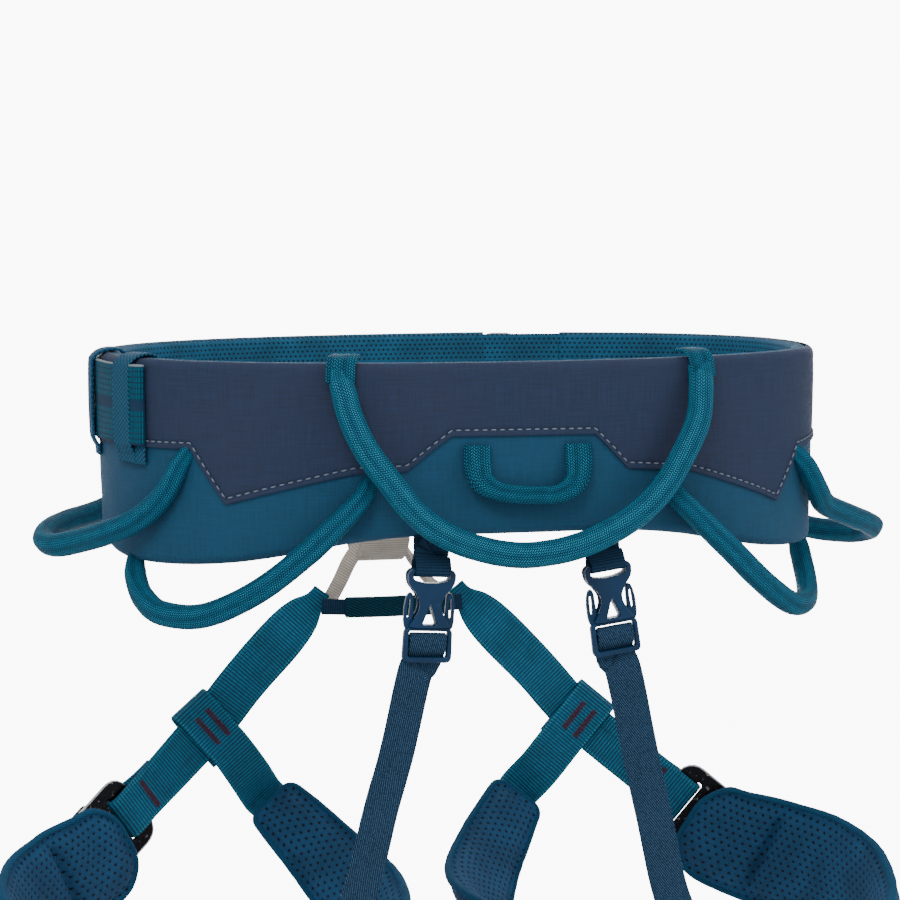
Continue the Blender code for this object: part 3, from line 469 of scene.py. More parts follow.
def webbing(name, colour, light, pitch=1.6, groove=0.22, fleck=0.5, lines=None, specular=0.25):
    """Flat webbing: ribs across it, fine threads along it, and light worn lines at a distance from its middle."""
    cloth = Cloth(name, 0.66, sheen=0.2, sheen_tint=shade(light, 1.5), specular=specular)
    rib = (cloth.u * (pi / pitch)).op("COSINE").abs()
    thread = wave(cloth.v, 0.75)
    twist = wave(cloth.v + rib * 0.9, 0.75)
    long = cloth.noise(1.0, 2.0, (0.05, 0.9))
    specks = cloth.noise(1.6, 2.0, (1.0, 1.6)).ramp(0.56, 0.75)
    base = cloth.ground(shade(colour, 0.85), shade(colour, 1.35), 0.06, stretch=(1.0, 0.5))
    base = cloth.mix(twist.ramp(0.5, 0.95) * rib.ramp(0.5, 0.95) * long.ramp(0.2, 0.7), base, light)
    base = cloth.mix(specks * fleck * rib, base, shade(light, 1.5))
    if lines:
        line = (cloth.v.abs() - lines).abs().ramp(0.45, 0.2) * wave(cloth.u, pitch).ramp(0.25, 0.6)
        base = cloth.mix(line * 0.45, base, shade(light, 1.7))
    base = cloth.mix(rib.ramp(0.5, 0.08), base, shade(colour, groove))
    base = cloth.mix(thread.ramp(0.25, 0.0) * 0.35, base, shade(colour, 0.4))
    return cloth.finish(base, rib.power(0.6) * 0.7 + twist * 0.35, 0.3)


def ladder_webbing(name, colour, rung):
    """Smooth strap with columns of raised ladder-like rungs along it."""
    cloth = Cloth(name, 0.7, sheen=0.15, sheen_tint=shade(rung, 1.5), specular=0.15)
    column = (cloth.v.abs() - 9.5).abs().ramp(7.6, 7.2)
    lane = ((cloth.v / 2.5).fract() - 0.5).abs().ramp(0.46, 0.36) * column
    rungs = wave(cloth.u, 0.95).ramp(0.25, 0.7) * lane
    fine = wave(cloth.v, 0.6)
    base = cloth.ground(colour, shade(colour, 1.3), 0.06)
    base = cloth.mix(fine.ramp(0.3, 0.0) * 0.4, base, shade(colour, 0.5))
    base = cloth.mix(lane * 0.8, base, shade(rung, 0.3))
    base = cloth.mix(rungs * 0.9, base, rung)
    # painted highlight: a pale grey line along one edge of the strap, where that edge catches the light
    base = cloth.mix(cloth.v.ramp(17.0, 17.5) * 0.8, base, (0.40, 0.50, 0.56))
    return cloth.finish(base, rungs + fine * 0.2, 0.3)


def twill(name, colour, light, pitch=0.95, slant=0.45, contrast=0.9, specular=0.12):
    """Elastic: fine broken diagonal ribs that lean along its length."""
    cloth = Cloth(name, 0.85, sheen=0.15, sheen_tint=shade(light, 1.5), specular=specular)
    diagonal = wave(cloth.v + cloth.u * slant, pitch)
    broken = cloth.noise(1.1, 2.0, (1.0, 1.4))
    grain = cloth.noise(1.3, 2.0)
    yarn = diagonal.ramp(0.4, 0.85) * broken.ramp(0.3, 0.55)
    base = cloth.ground(colour, shade(colour, 1.3), 0.05, 2.0)
    base = cloth.mix(diagonal.ramp(0.35, 0.0) * 0.8, base, shade(colour, 0.3))
    base = cloth.mix(yarn * contrast, base, light)
    base = cloth.mix(grain.ramp(0.5, 0.25) * 0.4, base, shade(colour, 0.4))
    return cloth.finish(base, yarn, 0.25)


def chevron(name, colour, light, pitch=2.1, column=2.7):
    """Woven elastic in chevrons of two colours."""
    cloth = Cloth(name, 0.8, sheen=0.15, sheen_tint=shade(light, 1.5), specular=0.15)
    zigzag = ((cloth.v / column).fract() - 0.5).abs() * (2.0 * column)
    stripe = wave(cloth.u + zigzag * 0.75, pitch)
    thread = wave(cloth.u * 0.5 + cloth.v, 0.55)
    base = cloth.mix(stripe.ramp(0.4, 0.62), colour, light)
    base = cloth.mix(thread.ramp(0.35, 0.0) * 0.5, base, shade(colour, 0.35))
    return cloth.finish(base, stripe * 0.7 + thread * 0.3, 0.25)


def braid(name, colour, light, column=1.2, pitch=1.35):
    """Knitted sheath: lengthwise columns of small leaning stitches, in bands lighter and darker round it."""
    cloth = Cloth(name, 0.72, sheen=0.1, sheen_tint=shade(light, 1.5), specular=0.14)
    place = cloth.v / column
    across = place.fract() - 0.5
    lean = (place.floor() * 0.5).fract() * 4 - 1
    step = cloth.u / pitch + across * lean * 0.85 + (place.floor() * 0.37).fract()
    stitch = ((step.fract() - 0.5).abs() * -2 + 1).ramp(0.12, 0.62)
    edge = across.abs().ramp(0.5, 0.34)
    raised = stitch * edge
    band = wave(cloth.v, column * 5.5)
    worn = cloth.noise(0.35, 3.0, (0.5, 1.2))
    base = cloth.mix(raised, shade(colour, 0.28), colour)
    base = cloth.mix(raised.ramp(0.55, 1.0) * (band * 0.3 + worn * 0.9), base, light)
    base = cloth.mix(band.ramp(0.3, 0.0) * 0.15, base, shade(colour, 0.35))
    return cloth.finish(base, raised + band * 0.1, 0.4)


def plastic(name, colour):
    cloth = Cloth(name, 0.42, coat=0.02, specular=0.22)
    broad = cloth.noise(60.0, 3.0, solid=True)
    grain = cloth.noise(2600.0, 2.0, solid=True)
    scuff = cloth.noise(260.0, 4.0, solid=True).ramp(0.6, 0.75)
    base = cloth.mix(broad.ramp(0.3, 0.7), shade(colour, 0.85), shade(colour, 1.2))
    base = cloth.mix(scuff * 0.35, base, shade(colour, 2.2))
    return cloth.finish(base, grain, 0.03, broad * 0.12 + scuff * 0.15 + 0.32)


def metal(name, colour, rough, bright=1.6):
    cloth = Cloth(name, rough, metallic=1.0, tone=1.0)
    brushed = cloth.noise(900.0, 3.0, solid=True)
    scratch = cloth.noise(420.0, 5.0, solid=True).ramp(0.62, 0.7)
    base = cloth.mix(brushed.ramp(0.35, 0.65), colour, shade(colour, bright))
    base = cloth.mix(scratch * 0.5, base, (0.42, 0.42, 0.44))
    return cloth.finish(base, brushed, 0.02, brushed * 0.15 + (rough - 0.07))


def thread(name, colour):
    cloth = Cloth(name, 0.6, sheen=0.2, sheen_tint=shade(colour, 1.5))
    ply = wave(cloth.u * 1.0 + cloth.v * 0.9, 0.32)
    tint = cloth.noise(0.4, 2.0)
    base = cloth.mix(tint.ramp(0.3, 0.7), shade(colour, 0.75), shade(colour, 1.2))
    base = cloth.mix(ply.ramp(0.4, 0.0) * 0.6, base, shade(colour, 0.4))
    return cloth.finish(base, ply, 0.12)


NAVY = (0.024, 0.046, 0.112)
TEAL = (0.010, 0.088, 0.190)
MAT = {
    "navy": shell_fabric("navy_shell", NAVY, (0.036, 0.048, 0.106)),
    "teal": shell_fabric("teal_shell", TEAL, (0.012, 0.104, 0.205)),
    "mesh": mesh_fabric("belt_mesh", (0.020, 0.140, 0.275), pitch=(2.6, 2.2), hole=0.36, rim=0.55),
    "leg_mesh": mesh_fabric("leg_mesh", (0.019, 0.105, 0.245), pitch=(4.2, 3.3)),
    "bind": twill("edge_binding", (0.018, 0.110, 0.240), (0.030, 0.170, 0.330), pitch=1.1, contrast=0.5),
    "web": webbing("riser_webbing", (0.011, 0.135, 0.270), (0.045, 0.480, 0.760), lines=10.0),
    "strap": ladder_webbing("waist_strap_webbing", (0.010, 0.048, 0.110), (0.010, 0.190, 0.320)),
    "dark": webbing("dark_webbing", (0.008, 0.040, 0.100), (0.016, 0.085, 0.165), pitch=1.2, groove=0.3,
                    fleck=0.15, specular=0.12),
    "elastic": twill("elastic", (0.010, 0.042, 0.105), (0.085, 0.210, 0.360)),
    "keeper": chevron("keeper_elastic", (0.018, 0.048, 0.130), (0.035, 0.220, 0.370)),
    "dark_smooth": twill("sleeve_elastic", (0.004, 0.036, 0.070), (0.008, 0.090, 0.140), pitch=1.4),
    "tape": braid("loop_tape", (0.008, 0.085, 0.185), (0.035, 0.400, 0.640), column=1.1, pitch=1.3),
    "tie_in": webbing("tie_in_webbing", (0.66, 0.58, 0.50), (0.95, 0.86, 0.77), pitch=1.3, groove=0.45,
                      fleck=0.4),
    "braid": braid("loop_braid", (0.010, 0.105, 0.230), (0.045, 0.460, 0.760), column=0.95, pitch=1.1),
    "braid_big": braid("rear_loop_braid", (0.013, 0.125, 0.260), (0.060, 0.550, 0.860), column=1.05, pitch=1.15),
    "plastic": plastic("buckle_plastic", (0.004, 0.044, 0.125)),
    "black": metal("black_anodised", (0.012, 0.012, 0.014), 0.34),
    # a bright silver metal, used only for the painted highlight round the edge of each buckle's longer plate
    "highlight_silver": metal("painted_highlight_edge", (0.42, 0.42, 0.44), 0.3, 1.4),
    "stitch": thread("seam_thread", (0.42, 0.52, 0.70)),
    "maroon": thread("bartack_thread", (0.160, 0.035, 0.110)),
}


# ---------------------------------------------------------------- waist ring

RING_A = 168.0
RING_B = 100.0
RING_POWER = 2.4
RING_TAPER = 1.5
BELT_HEIGHT = 90.0
BELT_TOP = ((0, 40.0), (90, 41.0), (200, 42.0))
BELT_BOTTOM = ((0, -36.5), (13, -36.8), (24, -39.8), (33, -44.0), (46, -48.5), (62, -50.5), (80, -50.0), (92, -47.0),
               (125, -30.0), (160, -8.0), (200, -8.0))
SEAM = (
    (-200, 4.0), (-165, 4.0), (-130, 2.0), (-95, 1.0), (-75, 1.2), (-55, 1.6), (-46.8, -22.5), (-22.5, -8.5),
    (-14.6, -7.8), (-8.2, 7.5), (8.2, 7.0), (13.2, -8.8), (24.2, -11.0), (47.8, -28.0), (56, -5.0), (73, -2.0),
    (95, -2.0), (130, 2.0), (165, 4.0), (200, 4.0),
)
LEFT_PAD_END_X = 41.0
RIGHT_PAD_END_X = 80.0
WAIST_STRAP_Z = 18.0
BELT_DEPTH = 11.0
STITCH_INSET = 2.7
STITCH_LENGTH = 2.3
STITCH_PITCH = 4.0
STITCH_THICK = 0.78


def belt_top(theta):
    return interpolate(BELT_TOP, abs(theta))


def belt_bottom(theta):
    return interpolate(BELT_BOTTOM, abs(theta))


def seam(theta):
    return knots(SEAM, theta)


def ring(theta, out, z):
    """A point on the waist ring: theta in degrees from the back centre, out from the belt's face."""
    shift = out - RING_TAPER * (BELT_TOP[0][1] - z) / BELT_HEIGHT
    s = sin(radians(theta))
    c = cos(radians(theta))
    power = 2 / RING_POWER
    x = (RING_A + shift) * (1 if s > 0 else -1) * abs(s) ** power
    y = -(RING_B + shift) * (1 if c > 0 else -1) * abs(c) ** power
    return np.array((x, y, z))


def ring_normal(theta):
    """The belt's outward normal, which leans down because the ring narrows downwards."""
    along = unit(ring(theta + 0.5, 0, 0) - ring(theta - 0.5, 0, 0))
    return unit((along[1], -along[0], -RING_TAPER / BELT_HEIGHT))


def front_theta(x):
    """The angle of the point of the front of the ring that lies at this x."""
    low, high = 90.0, 270.0
    for _ in range(40):
        middle = (low + high) / 2
        if ring(middle, 0, WAIST_STRAP_Z)[0] > x:
            low = middle
        else:
            high = middle
    return low


def ring_path(start, end, pitch):
    """Angles from start to end at equal lengths along the ring, and the lengths from the back centre."""
    fine = np.linspace(start, end, 1601)
    points = np.array([ring(t, 0, 0) for t in fine])
    lengths = arc_lengths(points)
    zero = np.interp(0.0, fine, lengths) if start < 0 < end else 0.0
    count = int(lengths[-1] / pitch) + 1
    at = np.linspace(0, lengths[-1], count)
    return np.interp(at, lengths, fine), at - zero


LEFT_END = front_theta(LEFT_PAD_END_X) - 360
RIGHT_END = front_theta(RIGHT_PAD_END_X)


def belt_out(theta, z, radius=4.0):
    """How far the cushioned outer face stands out: rounded over the edges, a little full between."""
    top = belt_top(theta) - z
    bottom = z - belt_bottom(theta)
    near = max(0.0, min(top, bottom))
    roll = radius * (1 - (1 - (1 - min(near / radius, 1.0)) ** 2) ** 0.5)
    full = 0.5 * sin(pi * min(1.0, max(0.0, bottom / (top + bottom))))
    return full - roll


def belt_wave(theta, z, length):
    """Slow unevenness of the cloth."""
    return 0.45 * float(hash_noise(length / 38.0, z / 30.0, 1.7)) + 0.16 * float(
        hash_noise(length / 11.0, z / 9.0, 5.2))


def panel(name, angles, lengths, low, high, lift, material, slot, replaces, hem=False, thick=1.2):
    """A cloth panel over the belt's outer face; a hem is its lower edge folded under and sewn."""
    rows_outer = []
    heights = []
    for theta, length in zip(angles, lengths):
        z0, z1 = low(theta), high(theta)
        near = np.array((0.0, 0.25, 0.6, 1.1, 1.7, 2.2, 2.7, 3.3, 4.2))
        middle = np.linspace(z0 + 5.5, z1 - 5.5, 16)
        over = z1 - np.array((4.2, 3.2, 2.3, 1.5, 0.9, 0.4, 0.1, 0.0))
        zs = np.concatenate((z0 + near, middle, over))
        column = []
        for z in zs:
            out = belt_out(theta, z) + belt_wave(theta, z, length) + lift
            if hem:
                d = z - z0
                out += 0.75 * max(0.0, 1 - (abs(d - 1.0) / 1.5) ** 2) ** 0.5 if abs(d - 1.0) < 1.5 else 0.0
                out -= 0.35 * np.exp(-((d - STITCH_INSET) / 0.45) ** 2)
                out -= 0.10 * (1 + sin(2 * pi * length / STITCH_PITCH)) * np.exp(-((d - STITCH_INSET) / 1.6) ** 2)
            column.append(ring(theta, out, z))
        rows_outer.append(column)
        heights.append(zs)
    outer = np.array(rows_outer)
    normal = np.array([ring_normal(t) for t in angles])[:, None, :]
    inner = outer - normal * thick
    sections = np.concatenate((outer, inner[:, ::-1]), axis=1)
    heights = np.array(heights)
    v = np.concatenate((heights, heights[:, ::-1]), axis=1)
    return Parts().loft(sections, lengths, v).piece(name, material, ROOT, slot, replaces)


def belt_core(angles, lengths):
    """The foam and mesh lining as one closed pad that shows at the belt's edges and inside."""
    sections, vs = [], []
    for theta, length in zip(angles, lengths):
        z0, z1 = belt_bottom(theta) + 0.4, belt_top(theta) - 0.2
        zs = z0 + (z1 - z0) * (0.5 - 0.5 * np.cos(np.linspace(0, pi, 22)))
        column, v = [], []
        for z in zs:
            out = belt_out(theta, z, 5.0) - 1.6
            column.append(ring(theta, out, z))
            v.append(z)
        for z in zs[::-1]:
            near = max(0.0, min(z1 - z, z - z0))
            roll = 4.4 * (1 - (1 - (1 - min(near / 4.4, 1.0)) ** 2) ** 0.5)
            dent = 0.5 * float(hash_noise(length / 30.0, z / 24.0, 9.4))
            column.append(ring(theta, -BELT_DEPTH + roll + dent + 0.2, z))
            v.append(z)
        sections.append(column)
        vs.append(v)
    pad = Parts().loft(sections, lengths, np.array(vs)).piece(
        "belt_pad", MAT["mesh"], ROOT, "mesh_fabric", ("waist_foam", "waist_liner", "waist_load_web"))


def waist_belt():
    angles, lengths = ring_path(LEFT_END, RIGHT_END, 2.0)
    for corner, _ in SEAM[1:-1]:
        if LEFT_END < corner < RIGHT_END:
            k = int(np.argmin(np.abs(angles - corner)))
            lengths[k] = np.interp(corner, angles, lengths)
            angles[k] = corner
    belt_core(angles, lengths)
    panel("belt_upper_panel", angles, lengths, seam, lambda t: belt_top(t) - 0.3, 0.35, MAT["navy"],
          "navy_fabric", ("waist_shell_upper",), hem=True)
    panel("belt_lower_panel", angles, lengths, lambda t: belt_bottom(t) + 0.1, lambda t: seam(t) + 1.2, -0.15,
          MAT["teal"], "teal_fabric", ("waist_shell_lower",))
    fine, along = ring_path(LEFT_END + 0.6, RIGHT_END - 0.6, 0.8)
    heights = [seam(t) + STITCH_INSET for t in fine]
    path = np.array([ring(t, belt_out(t, z) + belt_wave(t, z, s) + 0.35, z)
                     for t, z, s in zip(fine, heights, along)])
    normals = np.array([ring_normal(t) for t in fine])
    stitches(path, normals, STITCH_LENGTH, STITCH_PITCH, STITCH_THICK, sink=-0.1).piece(
        "seam_stitching", MAT["stitch"], ROOT, "navy_fabric")


waist_belt()


# ---------------------------------------------------------------- straps and moulded shapes

def flip(point, side):
    return np.array((point[0] * side, point[1], point[2]), float)


def path_of(controls, width=0.0, pitch=0.4):
    """Points, normals and widths along (point, normal) or (point, normal, width) controls."""
    rows = spline([tuple(c[0]) + tuple(c[1]) + (c[2] if len(c) > 2 else width,) for c in controls], pitch)
    return rows[:, :3], unit(rows[:, 3:6]), rows[:, 6]


def add_strap(parts, controls, width, thick, pitch=1.6, rib=0.14, path_pitch=0.4):
    points, normals, widths = path_of(controls, width, path_pitch)
    sections, u, v = ribbed_strap(points, normals, width, thick, pitch, rib, widths=widths)
    return parts.loft(sections, u, v)


def strap(name, controls, width, thick, material, body, slot, replaces=(), **more):
    return add_strap(Parts(), controls, width, thick, **more).piece(name, material, body, slot, replaces)


def fillet(points, radius, steps=5):
    """The closed outline with its corners rounded."""
    p = np.asarray(points, float)
    result = []
    for i in range(len(p)):
        a, b, c = p[i - 1], p[i], p[(i + 1) % len(p)]
        reach = min(radius, 0.45 * np.linalg.norm(a - b), 0.45 * np.linalg.norm(c - b))
        start, end = b + unit(a - b) * reach, b + unit(c - b) * reach
        for t in np.linspace(0, 1, steps):
            result.append(start * (1 - t) ** 2 + b * 2 * t * (1 - t) + end * t * t)
    return np.array(result)


def signed_area(p):
    q = np.roll(p, -1, axis=0)
    return 0.5 * float(np.sum(p[:, 0] * q[:, 1] - q[:, 0] * p[:, 1]))


def moulded(parts, loops, low, high, bevel, place, steps=3):
    """A flat shape with rounded edges from closed (w, d) outlines, the first one the outside."""
    bm = bmesh.new()
    turns = np.linspace(0, pi / 2, steps + 1)
    up = [(bevel * (1 - cos(t)), high - bevel + bevel * sin(t)) for t in turns] + [(bevel + 0.12, high)]
    down = [(inset, low + high - n) for inset, n in reversed(up)]
    caps = {0: [], 1: []}
    for index, loop in enumerate(loops):
        loop = np.asarray(loop, float)
        if (signed_area(loop) > 0) != (index == 0):
            loop = loop[::-1]
        along = unit(np.roll(loop, -1, axis=0) - np.roll(loop, 1, axis=0))
        left = np.stack((-along[:, 1], along[:, 0]), axis=1)
        rows = [[bm.verts.new((*(p + l * inset), n)) for p, l in zip(loop, left)] for inset, n in down + up]
        for a, b in zip(rows, rows[1:]):
            for i in range(len(loop)):
                j = (i + 1) % len(loop)
                bm.faces.new((a[i], a[j], b[j], b[i]))
        for cap, row in ((0, rows[0]), (1, rows[-1])):
            caps[cap] += [bm.edges.get((row[i - 1], row[i])) for i in range(len(row))]
    for cap in (0, 1):
        bmesh.ops.triangle_fill(bm, use_beauty=True, edges=caps[cap])
    bm.verts.index_update()
    base = parts.count
    local = np.array([v.co[:] for v in bm.verts])
    parts.verts.append(np.array([place(*c) for c in local]))
    parts.count += len(local)
    for face in bm.faces:
        parts.faces.append(tuple(base + v.index for v in face.verts))
        parts.uvs += [(v.co.x + v.co.z, v.co.y) for v in face.verts]
    bm.free()
    return parts


def crisp(obj, angle=32.0):
    obj.data.set_sharp_from_angle(angle=radians(angle))
    return obj


def bartack(parts, centre, along, normal, length, width, pitch=0.5, thick=0.42):
    """A dense zigzag of thread; along is its long direction."""
    along, normal = unit(along), unit(normal)
    across = unit(np.cross(normal, along))
    count = int(length / pitch)
    rows = []
    for k in range(count + 1):
        base = np.asarray(centre, float) + along * (k * pitch - length / 2)
        hand = 1 if k % 2 else -1
        for t in np.linspace(-1, 1, 6):
            place = base + across * (hand * t * width / 2) + along * (t * pitch * 0.25)
            rows.append(place + normal * (0.18 - 0.5 * abs(t) ** 5))
    points = np.array(rows)
    angles = circle(6)
    normals = np.repeat(normal[None], len(points), axis=0)
    return parts.loft(sweep(points, normals, oval(angles, thick / 2, thick / 2)), arc_lengths(points),
                      angles * thick / 2, pi * thick)


# ---------------------------------------------------------------- two-plate buckles

STRAP_ROUTE = (
    # u, h and the normal's (u, h): under the frame, up through both plates, back over the slider
    (-13.0, 1.5, 0, 1), (-9.3, 2.3, -0.6, 0.8),
    (-7.6, 4.6, -1, 0), (-7.5, 7.6, -1, 0), (-8.4, 10.2, -0.8, -0.6), (-11.5, 11.5, 0, -1),
    (-17.0, 11.4, 0.05, -1), (-22.0, 11.3, 0.1, -1),
)
ANCHOR_ROUTE = (
    (32.0, 1.2, 0, 1), (20.0, 1.2, 0, 1), (13.0, 1.2, 0, 1), (9.2, 1.9, 0.6, 0.8),
    (7.6, 3.4, 1, 0), (7.6, 5.4, 1, 0), (9.2, 7.0, 0.6, -0.8), (13.5, 7.7, 0, -1),
)


def buckle_place(origin, along, out, scale):
    """Turns the buckle's own (u, h, w) into a point: u along the strap, h outwards, w across."""
    across = unit(np.cross(along, out))

    def place(u, h, w):
        return origin + along * (u * scale) + out * h + across * w

    def direction(u, h):
        return unit(along * u + out * h)

    return place, direction


def route(rows, place, direction):
    return [(place(u, h, 0), direction(nu, nh)) for u, h, nu, nh in rows]


def box_outline(u0, u1, half, radius):
    return fillet(((u0, -half), (u1, -half), (u1, half), (u0, half)), radius, 7)


def two_plate_buckle(prefix, place, width, frame_body, slider_body, corner=8.0, reach=19.0, side_bar=4.0,
                     slots=((-11, -4), (4, 11)), top=17.0):
    """A frame plate with two slots, and the shorter slider plate that lies over one end of it."""
    half = width / 2

    def flat(u, w, n):
        return place(u, n, w)

    windows = [box_outline(u0, u1, half - side_bar, 1.6) for u0, u1 in slots]
    frame_outline = box_outline(-reach, top, half, corner)
    slider_outline = fillet(((-18, -half), (-2, -half), (-2, half), (-18, half)), 5.0, 9)
    frame_plate = moulded(Parts(), [frame_outline] + windows, 3.2, 5.7, 0.8, flat)
    crisp(frame_plate.piece(prefix + "_frame_plate", MAT["black"], frame_body, "black_metal",
                            (prefix + "_frame",)))
    slider = moulded(Parts(), [slider_outline, windows[0]], 6.5, 8.3, 0.7, flat)
    crisp(slider.piece(prefix + "_slider_plate", MAT["black"], slider_body, "black_metal",
                       (prefix + "_slider",)))
    # painted highlight: a bright bare-metal rim round the outer edge of the longer plate stands in for the glint of
    # light along that edge
    edge = Parts()
    angles = circle(8)
    on_frame = reach > 20
    outline, height, body = (frame_outline, 4.0, frame_body) if on_frame else (slider_outline, 7.2, slider_body)
    points = np.array([place(u, height, w) for u, w in outline])
    out = unit(place(0, 1, 0) - place(0, 0, 0))
    edge.loft(sweep(points, np.repeat(out[None], len(points), axis=0), oval(angles, 0.55, 0.85), closed=True),
              arc_lengths(points), angles, 2 * pi, closed=True)
    edge.piece(prefix + "_painted_highlight_rim", MAT["highlight_silver"], body, "black_metal")


# ---------------------------------------------------------------- waist strap and keepers

TAIL_LIFT = ((-165, 4.6), (-160, 4.4), (-135, 3.2), (-110, 2.2), (-60, 2.0))
TAIL_RAISE = ((-200, 0.0), (-150, 0.0), (-90, 2.0), (-60, 2.0))
TAIL_END = -68.5
WAIST_BUCKLE_X = 60.5
WAIST_BUCKLE_WIDTH = 45.0
TONGUE_BOTTOM = -6.0
TONGUE_TOP = 41.0
TONGUE_OUT = -9.25
WAIST_STRAP_WIDTH = 36.0
WAIST_STRAP_THICK = 1.6


def front_point(x, out, hand=1):
    """A control point on the belt's front at this x, facing out or in."""
    theta = front_theta(x)
    return ring(theta, out, WAIST_STRAP_Z), hand * ring_normal(theta)


def waist_strap():
    theta = front_theta(WAIST_BUCKLE_X)
    out = ring_normal(theta)
    place, direction = buckle_place(ring(theta, -3.8, WAIST_STRAP_Z), np.array((out[1], -out[0], 0.0)), out, 1.0)
    two_plate_buckle("waist_buckle", place, WAIST_BUCKLE_WIDTH, ROOT, "waist_slider")
    controls = [front_point(x, -2.3) for x in (21.0, 28.0, 35.0, 41.5)]
    controls += route(STRAP_ROUTE, place, direction)
    controls.append(front_point(32.0, 6.4, -1))
    for t in np.linspace(front_theta(24.0) - 360, TAIL_END, 24):
        lift = knots(TAIL_LIFT, t)
        controls.append((ring(t, lift, WAIST_STRAP_Z + knots(TAIL_RAISE, t)), -ring_normal(t)))
    # the end is folded back outwards and sewn
    for turn, lift, normal in ((TAIL_END + 0.5, 3.0, 0.0), (TAIL_END - 0.2, 3.9, 1.0), (TAIL_END - 2.5, 3.9, 1.0),
                               (TAIL_END - 4.3, 3.8, 1.0)):
        n = ring_normal(turn)
        ahead = unit(ring(turn + 1, 0, 0) - ring(turn - 1, 0, 0))
        controls.append((ring(turn, lift, WAIST_STRAP_Z + 2), n if normal else ahead))
    strap("waist_strap_webbing", controls, WAIST_STRAP_WIDTH, WAIST_STRAP_THICK, MAT["strap"], ROOT,
          "strap_webbing", ("waist_strap",), pitch=1.25, rib=0.1, path_pitch=0.42)
    controls = [front_point(x, -2.3) for x in (100.0, 93.0, 86.0, 79.5)]
    controls += route(ANCHOR_ROUTE[2:], place, direction)
    controls += [front_point(x, lift, -1) for x, lift in ((84.0, 1.9), (92.0, 1.3), (102.0, 1.3))]
    strap("waist_anchor_webbing", controls, WAIST_STRAP_WIDTH, WAIST_STRAP_THICK, MAT["strap"], ROOT,
          "strap_webbing", ("waist_buckle_anchor",), pitch=1.25, rib=0.1)
    tacks = Parts()
    theta = front_theta(94.0)
    for z in (6.0, 14.0, 22.0, 30.0):
        bartack(tacks, ring(theta, 2.2, z), (0, 0, 1), ring_normal(theta), 6.5, 2.2)
    tacks.piece("waist_anchor_bartacks", MAT["maroon"], ROOT, "strap_webbing")

    # the thin tongue behind the buckle
    angles, lengths = ring_path(front_theta(83.0), front_theta(38.0), 1.5)
    low, high, depth = TONGUE_BOTTOM, TONGUE_TOP, TONGUE_OUT
    zs = low + (high - low) * (0.5 - 0.5 * np.cos(np.linspace(0, pi, 18)))
    near = np.minimum(zs - low, high - zs)
    roll = 1.2 * np.sqrt(np.clip(1 - (1 - np.clip(near / 1.4, 0, 1)) ** 2, 0, 1))
    sections = [[ring(t, depth + r, z) for z, r in zip(zs, roll)]
                + [ring(t, depth - r, z) for z, r in zip(zs[::-1], roll[::-1])] for t in angles]
    Parts().loft(np.array(sections), lengths, np.concatenate((zs, zs[::-1]))).piece(
        "buckle_tongue", MAT["mesh"], ROOT, "mesh_fabric", ("waist_buckle_flap",))


KEEPER_RISE = ((36.0, -12.0), (39.5, -11.2), (41.5, -8.8), (42.0, -5.6), (41.7, -2.4), (40.5, 0.9), (38.4, 3.3),
               (35.5, 4.2), (20.0, 4.5), (4.0, 4.2), (0.4, 3.3), (-2.5, 1.9), (-6.0, 1.6))


def waist_keepers():
    for label, theta in (("rear", -75.0), ("front", -94.5)):
        normal = ring_normal(theta)
        up = np.array((0.0, 0.0, 1.0))
        controls = []
        for k, (z, out) in enumerate(KEEPER_RISE):
            facing = (-normal, up - normal * 2, up - normal * 0.5, up, up + normal * 0.4, up + normal,
                      up * 0.6 + normal)
            controls.append((ring(theta, out, z), unit(facing[k]) if k < 7 else normal))
        cover = MAT["keeper"] if label == "rear" else MAT["bind"]
        strap(f"strap_keeper_{label}_band", controls, 13.5, 1.3, cover, ROOT, "elastic",
              (f"strap_keeper_{label}",), pitch=2.4, rib=0.05)
    # the sewn end of the rear keeper shows below the strap
    theta = -70.5
    controls = [(ring(theta, out, z), ring_normal(theta)) for z, out in ((2.0, 1.2), (-1.0, 1.7), (-6.5, 1.5))]
    strap("strap_keeper_rear_end", controls, 9.5, 1.1, MAT["keeper"], ROOT, "elastic", pitch=2.4, rib=0.05)


waist_strap()
waist_keepers()


# ---------------------------------------------------------------- tie-in points and belay loop

UPPER_LOOP_HALF = (
    ((-26.5, 104.6, -7.5), (-0.4, 1, 0), 14.0), ((-26.3, 111.0, -12.5), (-1, 0.7, -0.3), 12.0),
    ((-24.5, 116.4, -18.2), (-0.85, 0, -0.5), 11.0), ((-16.0, 118.0, -21.8), (-0.2, 0, -1), 11.0),
)
LOWER_BRIDGE = (
    ((-31.5, 121.2, -92.5), (-0.8, -0.4, 0.5), 10.0), ((-26.0, 120.6, -82.5), (-0.8, -0.4, 0.4), 10.0),
    ((-20.9, 119.6, -71.8), (-0.8, -0.4, 0.5), 10.5), ((-15.0, 118.6, -64.6), (-0.5, -0.3, 0.8), 11.0),
    ((-5.0, 118.2, -61.5), (0, -0.2, 1), 11.0), ((4.5, 118.6, -64.1), (0.5, -0.3, 0.8), 11.0),
    ((10.5, 119.6, -72.0), (0.8, -0.4, 0.5), 10.5), ((19.0, 120.6, -82.5), (0.8, -0.4, 0.5), 10.0),
    ((31.5, 121.2, -92.0), (0.7, -0.4, 0.6), 10.0),
)


TIE_IN_THICK = 2.4
TIE_IN_X = 26.0
SLEEVE_Y = 116.9
SLEEVE_Z = -95.2
BELAY_X = -7.2
BELAY_Y = 118.0
BELAY_BEND = 15.9
BELAY_WIDTH = 24.0
PLY = 1.65


def both_halves(half, middle):
    return list(half) + [middle] + [(flip(p, -1), flip(n, -1), w) for p, n, w in reversed(half)]


